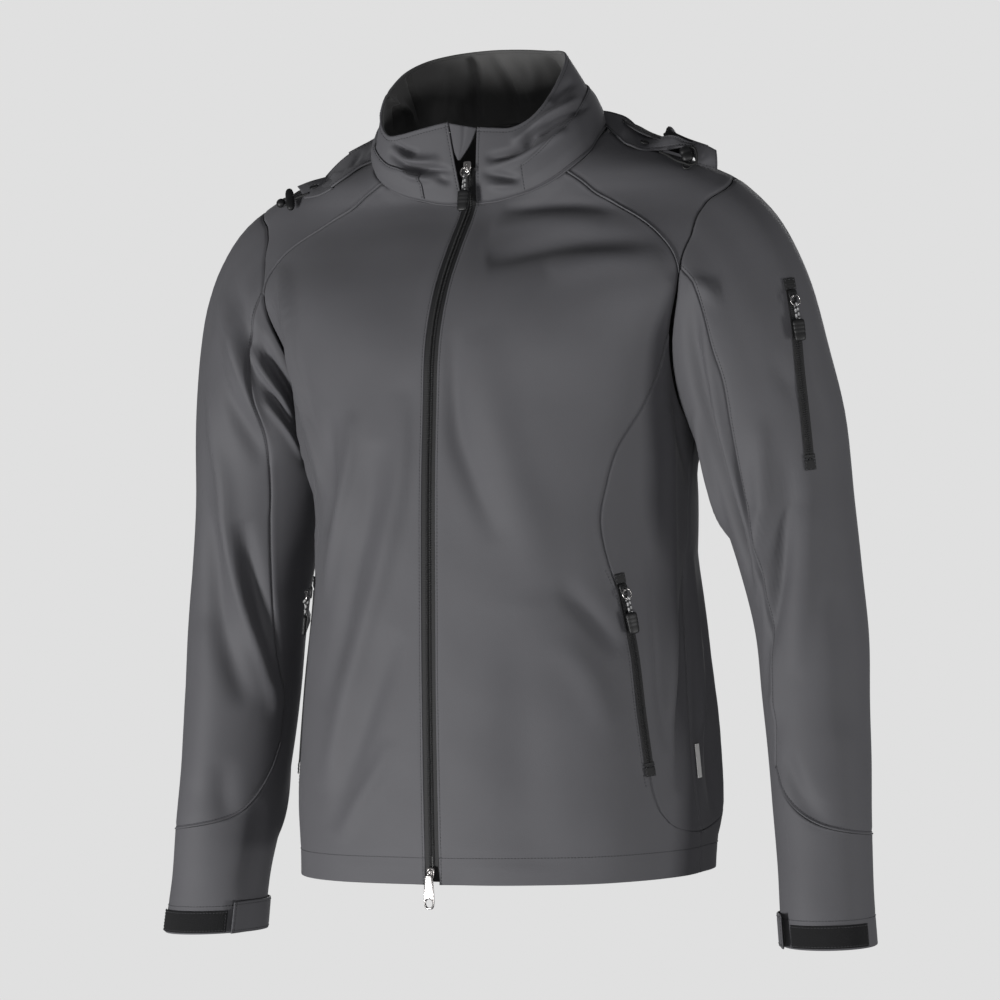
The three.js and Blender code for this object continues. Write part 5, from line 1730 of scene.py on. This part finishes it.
    def eyelet(self, side: str, cloth: Lofted) -> None:
        """Builds the eyelet: a rim, and a dark disc in its opening that is painted shade in place of the open hole.

        Args:
            side: left or right.
            cloth: the cloth that it is set in.
        """
        at, end = (np.array(v) for v in EYELET[side])
        along = unit(end - at)
        row = cloth.last / 2
        out = cloth.normal(np.array(row), np.array(1.0))
        across = unit(np.cross(along, out))
        spot = Frame(at + FORWARD * 3.0, across, along, unit(np.cross(across, along)))
        verts, faces = torus(3.9, 0.8, (0, 0, 0))
        # The hole is a dark rubber disc: painted shade that fills the eyelet's opening.
        hole = rounded_bar(np.array([0.3, 1.5, 1.9, 1.5, 0.3]), np.array([0.2, 0.4, 0.5, 0.4, 0.2]),
                           np.array([-3.6, -2.6, 0.0, 2.6, 3.6]), 2.2)
        self.solid(f"eyelet_{side}", ((verts * [0.6, 1, 1], faces), hole), spot, "rubber", handed(spot),
                   "jacket")

    def draw_cord(self, side: str) -> None:
        """Builds one draw cord and its lock.

        Args:
            side: left or right.
        """
        start, end, knob = (np.array(v) for v in LOCK[side])
        along = unit(end - start)
        across = unit(np.cross(along, FORWARD))
        spot = Frame((start + end) / 2, across, along, unit(np.cross(across, along)))
        half = float(np.linalg.norm(end - start)) / 2
        y = np.array([-1, -0.95, -0.82, -0.55, -0.2, -0.1, 0.1, 0.2, 0.55, 0.82, 0.95, 1]) * half
        w = np.array([0.6, 2.2, 3.3, 4.1, 4.2, 3.8, 3.8, 4.2, 4.1, 3.3, 2.2, 0.6])
        w *= 1.0 if side == "right" else 1.3
        barrel = rounded_bar(w, w * 0.82, y, 2.2)
        if side == "right":
            t = np.linspace(0.05, np.pi - 0.05, 11)
            ball = rounded_bar(np.sin(t) * 4.6, np.sin(t) * 4.2, -np.cos(t) * 4.6, 2.0)
            end_part = ball + spot_offset(spot, knob)
        else:
            verts, faces = torus(3.9, 1.0, (0, 0, 0))
            end_part = (verts + spot_offset(spot, knob), faces)
        lock = self.solid(f"lock_{side}", (barrel, end_part), spot, "rubber", handed(spot), "jacket",
                          f"cord_lock_{side}")
        points = DRAW_CORD[side]
        line = smooth(points, np.linspace(0, len(points) - 1, 90))
        verts, faces = loft(settled(swept(line, CORD_RADIUS, 12)))
        rope = placed_mesh(f"draw_cord_{side}", verts, faces, self.paint["cord"])
        self.keep(rope, "jacket", f"drawcord_{side}")
        path = settled(line) * MM
        path[::2].tolist() + [path[-1].tolist()]

    def zip_chain(self) -> None:
        """Builds the two tapes of the main zip and its coil."""
        line = ZipLine(self.torso, self.collar)
        for side, flip in (("left", False), ("right", True)):
            piece = Cloth(f"zip_tape_{side}", grid(0.35, 6.9, 12, 0, line.last, 260), line, {},
                          lift=-0.75, thick=0.9, flip=flip)
            self.cloth(piece, f"zip_tape_{side}", "tape", "tape")
        b = np.linspace(0, line.last, 4000)
        track = line.point(np.zeros(4000), b)
        run = run_of(track)
        at = np.interp(np.arange(0.8, run[-1] - 0.8, 1.6), run, b)
        n = line.normal(np.zeros(len(at)), at)
        up = unit(line.point(np.zeros(len(at)), at + 0.05) - line.point(np.zeros(len(at)), at - 0.05))
        rows = []
        for sign, late in ((1, 0.0), (-1, 0.5)):
            middle = line.point(np.full(len(at), sign * 1.75), at + late * 0.04) - n * 0.55
            rows.append(bars(settled(middle), unit(np.array([1.0 * sign, 0, 0]) - up * 0.22), n, 3.3, 0.62,
                             0.9))
        self.coil("zip_coil", rows, "zip_coil")

    def coil(self, name: str, rows: Sequence[tuple[Array, Array]], *nodes: str) -> None:
        """Joins the rows of elements of one zip.

        Args:
            name: name of the piece.
            rows: points and quads of each row.
            nodes: the solids that it stands for.
        """
        starts = np.cumsum([0] + [len(verts) for verts, _ in rows])
        faces = np.concatenate([quads + start for (_, quads), start in zip(rows, starts)])
        verts = np.concatenate([verts for verts, _ in rows])
        self.keep(placed_mesh(name, verts, faces, self.paint["coil"]), "jacket", *nodes)

    def slider(self, name: str, node: str, spot: Frame, paint: str, turned: bool) -> None:
        """Builds a slider with its bail.

        Args:
            name: name of the piece.
            node: the solid that it stands for.
            spot: where it sits.
            paint: its finish.
            turned: whether its frame is mirrored.
        """
        y = np.array([-5.6, -5.4, -4.4, -2.0, 1.0, 3.6, 5.0, 5.5])
        w = np.array([2.2, 3.2, 4.0, 4.15, 3.7, 3.2, 2.7, 1.8])
        top = rounded_bar(w, np.array([0.5, 0.9, 1.15, 1.2, 1.2, 1.15, 0.9, 0.5]), y, 3.4) + [0, 0, 1.7]
        ridge = rounded_bar(np.array([0.4, 1.3, 1.6, 1.3, 0.5]), np.array([0.3, 0.7, 0.8, 0.7, 0.3]),
                            np.array([-4.4, -3.2, 0.0, 3.0, 4.4]), 2.4) + [0, 0, 2.9]
        arch = np.array([[0, -3.2, 2.6], [0, -3.0, 4.6], [0, -1.9, 6.6], [0, -0.2, 7.3], [0, 1.6, 6.8],
                         [0, 2.9, 5.0], [0, 3.5, 2.6]])
        bail = swept(smooth(arch, np.linspace(0, 6, 25)), 0.62, 10, (1, 0, 0))
        self.solid(name, (top, ridge, bail), spot, paint, turned, "jacket", node)

    def solid(self, name: str, parts: Sequence[Array | tuple[Array, Array]], spot: Frame, paint: str,
              turned: bool, body: str, *nodes: str) -> bpy.types.Object:
        """Joins small solids into one piece.

        Args:
            name: name of the piece.
            parts: rings of points to be lofted, or points and quads.
            spot: where they sit.
            paint: finish of the piece.
            turned: whether the frame is mirrored, so that the winding is turned over.
            body: the body that it rides on.
            nodes: the solids that it stands for.

        Returns:
            The piece.
        """
        verts, faces, count = [], [], 0
        for part in parts:
            v, f = part if isinstance(part, tuple) else loft(part)
            verts.append(spot.put(v))
            faces.append(outward(v, f)[:, ::-1] + count if turned else outward(v, f) + count)
            count += len(v)
        made = placed_mesh(name, np.concatenate(verts), np.concatenate(faces), self.paint[paint])
        return self.keep(made, body, *nodes)

    def pull(self, node: str, spot: Frame, turned: bool) -> None:
        """Builds a pull: wire ring, braided loop of cord and rubber grip.

        Args:
            node: the solid that it stands for.
            spot: the frame of its hinge.
            turned: whether the frame is mirrored.
        """
        body = f"{node}_body"
        self.solid(f"{node}_ring", (torus(4.6, 0.72, (0, 4.6, 0)),), spot, "metal", turned, body)
        loop = np.array([[-1.0, 27, 0], [-1.15, 19, 0.05], [-1.05, 13, 0.3], [-0.8, 10.8, 1.4],
                         [-0.4, 9.2, 1.75], [0, 7.5, 0], [0.4, 9.2, -1.75], [0.8, 10.8, -1.4],
                         [1.05, 13, -0.3], [1.15, 19, -0.05], [1.0, 27, 0]])
        line = smooth(loop, np.linspace(0, len(loop) - 1, 121))
        self.braid(f"{node}_cord", line, spot, turned, body)
        y = np.array([21.8, 22.0, 22.8, 24.2, 26.4, 27.1, 27.8, 30.0, 30.7, 31.4, 33.6, 34.3, 35.0, 38.6,
                      40.6, 41.5, 41.8])
        w = np.array([1.6, 3.6, 5.0, 5.7, 5.9, 5.5, 5.8, 5.75, 5.35, 5.65, 5.55, 5.15, 5.45, 5.2, 4.9, 3.9,
                      1.6])
        d = w * 0.36 + 0.15
        self.solid(f"{node}_grip", (rounded_bar(w, d, y, 2.7),), spot, "rubber", turned, body, node)

    def braid(self, name: str, line: Array, spot: Frame, turned: bool, body: str) -> None:
        """Builds a round braid with its strands raised.

        Args:
            name: name of the piece.
            line: its middle line in the frame's axes.
            spot: the frame.
            turned: whether the frame is mirrored.
            body: the body that it rides on.
        """
        rings = swept(line, 0.98, 16, (0.3, 0.2, 1))
        run = run_of(line)
        turn = 2 * np.pi * np.arange(16) / 16
        way, wind = turn[None] * 2, run[:, None] * 2.4
        twist = np.abs(np.sin(way + wind)) * np.abs(np.sin(way - wind))
        rings = line[:, None] + (rings - line[:, None]) * (0.92 + 0.16 * twist)[..., None]
        verts, faces = loft(rings)
        uv = np.stack([np.tile(turn / 6.283 * 0.006, len(line)), np.repeat(run, 16)], -1) * [1, MM]
        faces = outward(verts, faces)
        made = placed_mesh(name, spot.put(verts), faces[:, ::-1] if turned else faces, self.paint["braid"],
                           uv)
        self.keep(made, body)

    def main_zip(self) -> None:
        """Builds the sliders of the main zip, the upper pull and the lower tab."""
        self.zip_chain()
        top = self.collar.point(np.array(0.0), np.array(0.46))
        a = np.array([-1.0, 0, 0])
        upper = Frame(np.array([0, top[1] - 0.9, top[2] + 1]), a, np.array([0, 0, -1.0]),
                      np.array([0, -1.0, 0]))
        self.slider("main_slider", "main_slider", upper.moved(dz=0.3), "metal", handed(upper))
        pivot = upper.moved(dz=5.9)
        hung = Frame(pivot.at, a, unit(np.array([0, -9.0, -45])), unit(np.array([0, -45.0, 9])))
        self.pull("main_pull", hung, handed(hung))
        low = -664.0
        n = self.torso.normal(np.array(0.0), np.array(low))
        out = unit(np.array([0, n[1], n[2]]))
        along = unit(np.cross(out, a))
        along = along if along[2] < 0 else -along
        base = np.array([0, self.torso.point(np.array(0.0), np.array(low))[1] - 0.9, low])
        lower = Frame(base, a, along, out)
        self.slider("bottom_slider", "bottom_slider", lower, "metal", handed(lower))
        spot = lower.moved(dy=2, dz=5.7)
        self.solid("bottom_pull_tab", (tab_plate(),), spot, "metal", handed(spot), "bottom_pull_body",
                   "bottom_pull")

    def pockets(self) -> None:
        """Builds the pocket zips, their sliders, pulls and end patches."""
        cases = (("pocket", "_left", POCKET, 12, self.torso, False),
                 ("pocket", "_right", POCKET, 12, self.torso, True),
                 ("sleeve_pocket", "", SLEEVE_POCKET, 10, self.sleeve, False))
        for prefix, suffix, rows, n, surface, flip in cases:
            line = steps(rows, n, surface)
            strip = Strip(line, surface)
            self.cloth(Cloth(f"{prefix}_tape{suffix}", grid(-4.7, 4.7, 14, 0, n, 90), strip, {},
                             lift=0.95, thick=0.7, flip=flip), f"{prefix}_zip{suffix}", "tape", "tape")
            b = np.linspace(0.9, n - 0.15, 110 if n == 12 else 74)
            turn = np.array([-1.0, 1, 1]) if flip else np.ones(3)
            normal = strip.normal(0 * b, b)
            parts = []
            for sign, late in ((1, 0.0), (-1, 0.5)):
                middle = strip.point(np.full(len(b), sign * 1.45), b + late * 0.05) + normal * 1.15
                side = unit(strip.point(np.full(len(b), 1.0 * sign), b) - strip.point(0 * b, b))
                parts.append(bars(settled(middle * turn), side * turn, normal * turn, 2.6, 0.55, 0.9))
            self.coil(f"{prefix}_coil{suffix}", parts)
            for end, (b0, b1) in enumerate(((-0.02, 0.62), (n - 0.12, n + 0.75))):
                patch_cells = grid(-5.6, 5.6, 14, b0, b1, 12)
                piece = Cloth(f"{prefix}_end_{end}{suffix}", patch_cells, strip,
                              dict.fromkeys(SIDES, Border(Edge.FREE, (1.2,), sunk=0.2)), lift=2.0, thick=1.1,
                              flip=flip)
                verts, faces, flat, _ = piece.build(self.stitches)
                self.keep(placed_mesh(piece.name, verts, faces, self.paint["tape"], flat), "jacket")
            at = surface.point(line[1, 0], line[1, 1])
            c = surface.normal(line[1, 0], line[1, 1])
            along = unit(surface.point(line[3, 0], line[3, 1]) - at)
            a = unit(np.cross(along, c))
            out = unit(np.cross(a, along))
            spot = Frame(at + out * 1.8, a, along, out)
            hung = spot.moved(dz=5.9)
            if flip:
                spot, hung = spot.mirrored(), hung.mirrored()
            self.slider(f"{prefix}_slider{suffix}", f"{prefix}_slider{suffix}", spot, "dark_metal",
                        handed(spot))
            self.pull(f"{prefix}_pull{suffix}", hung, handed(hung))

    def trims(self) -> None:
        """Builds the side label and joins all the stitches."""
        strip = Strip(np.array(LABEL), self.torso)
        free = Border(Edge.FREE)
        self.cloth(Cloth("label_blank", grid(-4, 4, 16, 0, 2, 40), strip, dict.fromkeys(SIDES, free),
                         lift=2.0, thick=0.7), "side_label", "label", "label")
        verts, faces = self.stitches.mesh()
        self.keep(placed_mesh("stitches", verts, faces, self.paint["thread"]), "jacket")

    def build(self) -> None:
        """Builds everything."""
        self.torso_pieces()
        self.sleeve_pieces()
        self.collar_pieces()
        self.hood_pieces()
        self.main_zip()
        self.pockets()
        self.trims()


class ZipLine(Surface):
    """The line of the main zip, by distance from the middle and row from the hem up into the collar."""

    STEP = (0.5, 0.02)

    def __init__(self, torso: Torso, collar: Collar) -> None:
        """Finds the rows.

        Args:
            torso: the body.
            collar: the collar.
        """
        self.torso = torso
        z = np.linspace(-672, -50, 23)
        mid = torso.point(0 * z, z)
        v = np.array([0.06, 0.2, 0.35, 0.46])
        high = collar.point(0 * v, v)
        n = collar.normal(0 * v + 0.1, v)
        self.rows = np.concatenate([mid, np.stack([0 * v, high[:, 1] - 0.4, high[:, 2]], -1)])
        self.outs = unit(np.concatenate([torso.normal(0 * z, z), n]) * [0, 1, 1])
        self.last = float(len(self.rows) - 1)

    def point(self, a: Array, b: Array) -> Array:
        """See Surface.point."""
        a, b = np.broadcast_arrays(np.asarray(a, float), np.asarray(b, float))
        p = smooth(self.rows, b)
        low = ramp(-b, -22.5, -21.5)[..., None]
        back = np.stack([0 * a, 0.0016 * a**2, 0 * a], -1)
        return p + a[..., None] * np.array([1.0, 0, 0]) + back * low

    def normal(self, a: Array, b: Array) -> Array:
        """See Surface.normal."""
        _, b = np.broadcast_arrays(np.asarray(a, float), np.asarray(b, float))
        return unit(smooth(self.outs, b))


def spot_offset(spot: Frame, at: Array) -> Array:
    """Finds a point in a frame's own axes.

    Args:
        spot: the frame.
        at: the point.

    Returns:
        Its place across, along and out of the frame.
    """
    gap = at - spot.at
    return np.array([gap @ spot.across, gap @ spot.along, gap @ spot.out])


def handed(spot: Frame) -> bool:
    """Tells whether a frame is left-handed.

    Args:
        spot: the frame.

    Returns:
        True where it is, so that winding has to be turned over.
    """
    return bool(np.dot(np.cross(spot.across, spot.along), spot.out) < 0)


def outward(verts: Array, faces: Array) -> Array:
    """Turns the faces of a closed solid outwards.

    Args:
        verts: its points.
        faces: its quads.

    Returns:
        The quads, turned over where the solid's volume came out negative.
    """
    a, b, c, d = (verts[faces[:, k]] for k in range(4))
    volume = (np.einsum("ij,ij->i", a, np.cross(b, c)) + np.einsum("ij,ij->i", a, np.cross(c, d))).sum()
    return faces if volume > 0 else faces[:, ::-1]


def tab_plate() -> tuple[Array, Array]:
    """The lower slider's flared metal tab with its eye, hanging along +y.

    Returns:
        Points and quads.
    """
    wide, tall, depth, waist, above, eye, eye_at = 11.4, 33.0, 1.6, 0.74, 2.0, 3.9, 25.4
    t = 2 * np.pi * np.arange(72) / 72
    c, s = np.cos(t), np.sin(t)
    y = np.sign(s) * np.abs(s) ** 0.55 * tall / 2
    x = np.sign(c) * np.abs(c) ** 0.55 * wide / 2 * (waist + (1 - waist) * (0.5 + y / tall))
    rim = np.stack([x, y + tall / 2 - above], -1)
    hole = np.stack([eye * 0.95 * np.cos(t), eye_at + eye * 1.05 * np.sin(t)], -1)
    inner = rim + (hole - rim) * 0.08
    lip = hole + (rim - hole) * 0.06
    half, bevel = depth / 2, 0.3
    loops = [(rim, -half + bevel), (rim, half - bevel), (inner, half), (lip, half), (hole, half - bevel),
             (hole, -half + bevel), (lip, -half), (inner, -half)]
    rings = np.stack([np.concatenate([p, np.full((72, 1), z)], 1) for p, z in loops])
    ids = np.arange(8 * 72).reshape(8, 72)
    low, right = np.roll(ids, -1, 0), np.roll(ids, -1, 1)
    faces = np.stack([m.ravel() for m in (ids, low, np.roll(low, -1, 1), right)], -1)
    return rings.reshape(-1, 3), faces


# Camera: turn about the jacket, height over its middle, roll, distance and what it looks at.
VIEW_TURN, VIEW_RISE, VIEW_ROLL, VIEW_FAR = 27.5, 1.5, 0.9, 5.0
VIEW_MIDDLE = (0.0, 0.0, -0.323)


def make_camera() -> None:
    """Places the camera as it stood for the photograph."""
    turn, rise, roll = (math.radians(a) for a in (VIEW_TURN, VIEW_RISE, VIEW_ROLL))
    back = Vector((math.sin(turn) * math.cos(rise), -math.cos(turn) * math.cos(rise), math.sin(rise)))
    right = Vector((math.cos(turn), math.sin(turn), 0))
    up = back.cross(right)
    across = right * math.cos(roll) - up * math.sin(roll)
    above = right * math.sin(roll) + up * math.cos(roll)
    data = bpy.data.cameras.new("camera")
    data.lens, data.sensor_width, data.shift_x = 189.47, 36.0, -0.003
    data.clip_end = 60.0
    camera = bpy.data.objects.new("camera", data)
    camera.matrix_world = Matrix.Translation(Vector(VIEW_MIDDLE) + back * VIEW_FAR) @ Matrix(
        (across, above, back)).transposed().to_4x4()
    bpy.context.scene.collection.objects.link(camera)
    bpy.context.scene.camera = camera


@dataclass(frozen=True)
class Lamp:
    """A soft lamp that faces the jacket: turn from the camera, height, distance, size and power."""

    name: str
    turn: float
    height: float
    far: float
    size: tuple[float, float]
    power: float

    def place(self) -> None:
        """Adds the lamp."""
        data = bpy.data.lights.new(self.name, "AREA")
        data.shape, data.size, data.size_y, data.energy = "RECTANGLE", *self.size, self.power
        light = bpy.data.objects.new(self.name, data)
        turn = math.radians(VIEW_TURN + self.turn)
        place = Vector((math.sin(turn) * self.far, -math.cos(turn) * self.far, self.height))
        facing = (place - Vector(VIEW_MIDDLE)).to_track_quat("Z", "Y").to_matrix().to_4x4()
        light.matrix_world = Matrix.Translation(place) @ facing
        bpy.context.scene.collection.objects.link(light)


LAMPS = (
    Lamp("left_lamp", -56, -1.5, 3.4, (0.6, 1.2), 110),
    Lamp("right_lamp", 62, -1.0, 3.2, (0.6, 1.2), 32),
    Lamp("front_lamp", 10, -1.5, 4.2, (1.0, 0.8), 34),
    Lamp("back_lamp", 172, 0.4, 3.6, (1.8, 1.8), 45),
)


# The room: colour and strength of its light, and the backdrop's grey and radius.
ROOM_COLOUR, ROOM_LIGHT = (0.86, 0.87, 0.9, 1), 0.15
BACKDROP_GREY, BACKDROP_RADIUS = 0.745, 9000


def make_stage() -> None:
    """Adds the pale backdrop, the surroundings' light and the lamps."""
    scene = bpy.context.scene
    scene.view_settings.view_transform = "Standard"
    scene.view_settings.look = "None"
    world = bpy.data.worlds.new("room")
    world.use_nodes = True
    ground = world.node_tree.nodes["Background"]
    ground.inputs["Color"].default_value = ROOM_COLOUR
    ground.inputs["Strength"].default_value = ROOM_LIGHT
    scene.world = world
    n, m = 48, 24
    around = 2 * np.pi * np.arange(n) / n
    rise = np.linspace(-np.pi / 2 + 0.02, np.pi / 2 - 0.02, m)
    pts = BACKDROP_RADIUS * np.stack([np.cos(rise)[:, None] * np.cos(around),
                                      np.cos(rise)[:, None] * np.sin(around),
                           np.broadcast_to(np.sin(rise)[:, None], (m, n))], -1)
    verts, faces = loft(pts)
    paint = bpy.data.materials.new("backdrop")
    paint.use_nodes = True
    tree = paint.node_tree
    tree.nodes.clear()
    glow = tree.nodes.new("ShaderNodeEmission")
    glow.inputs["Color"].default_value = (BACKDROP_GREY, BACKDROP_GREY, BACKDROP_GREY, 1)
    glow.inputs["Strength"].default_value = 1.0
    end = tree.nodes.new("ShaderNodeOutputMaterial")
    tree.links.new(glow.outputs[0], end.inputs[0])
    dome = placed_mesh("backdrop", verts, faces, paint)
    dome.visible_diffuse = dome.visible_glossy = dome.visible_shadow = dome.visible_transmission = False
    for lamp in LAMPS:
        lamp.place()


def main() -> None:
    """Builds the scene."""
    logging.basicConfig(level=logging.INFO, format="%(message)s")
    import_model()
    Jacket().build()
    make_stage()
    make_camera()


if __name__ == "__main__":
    main()
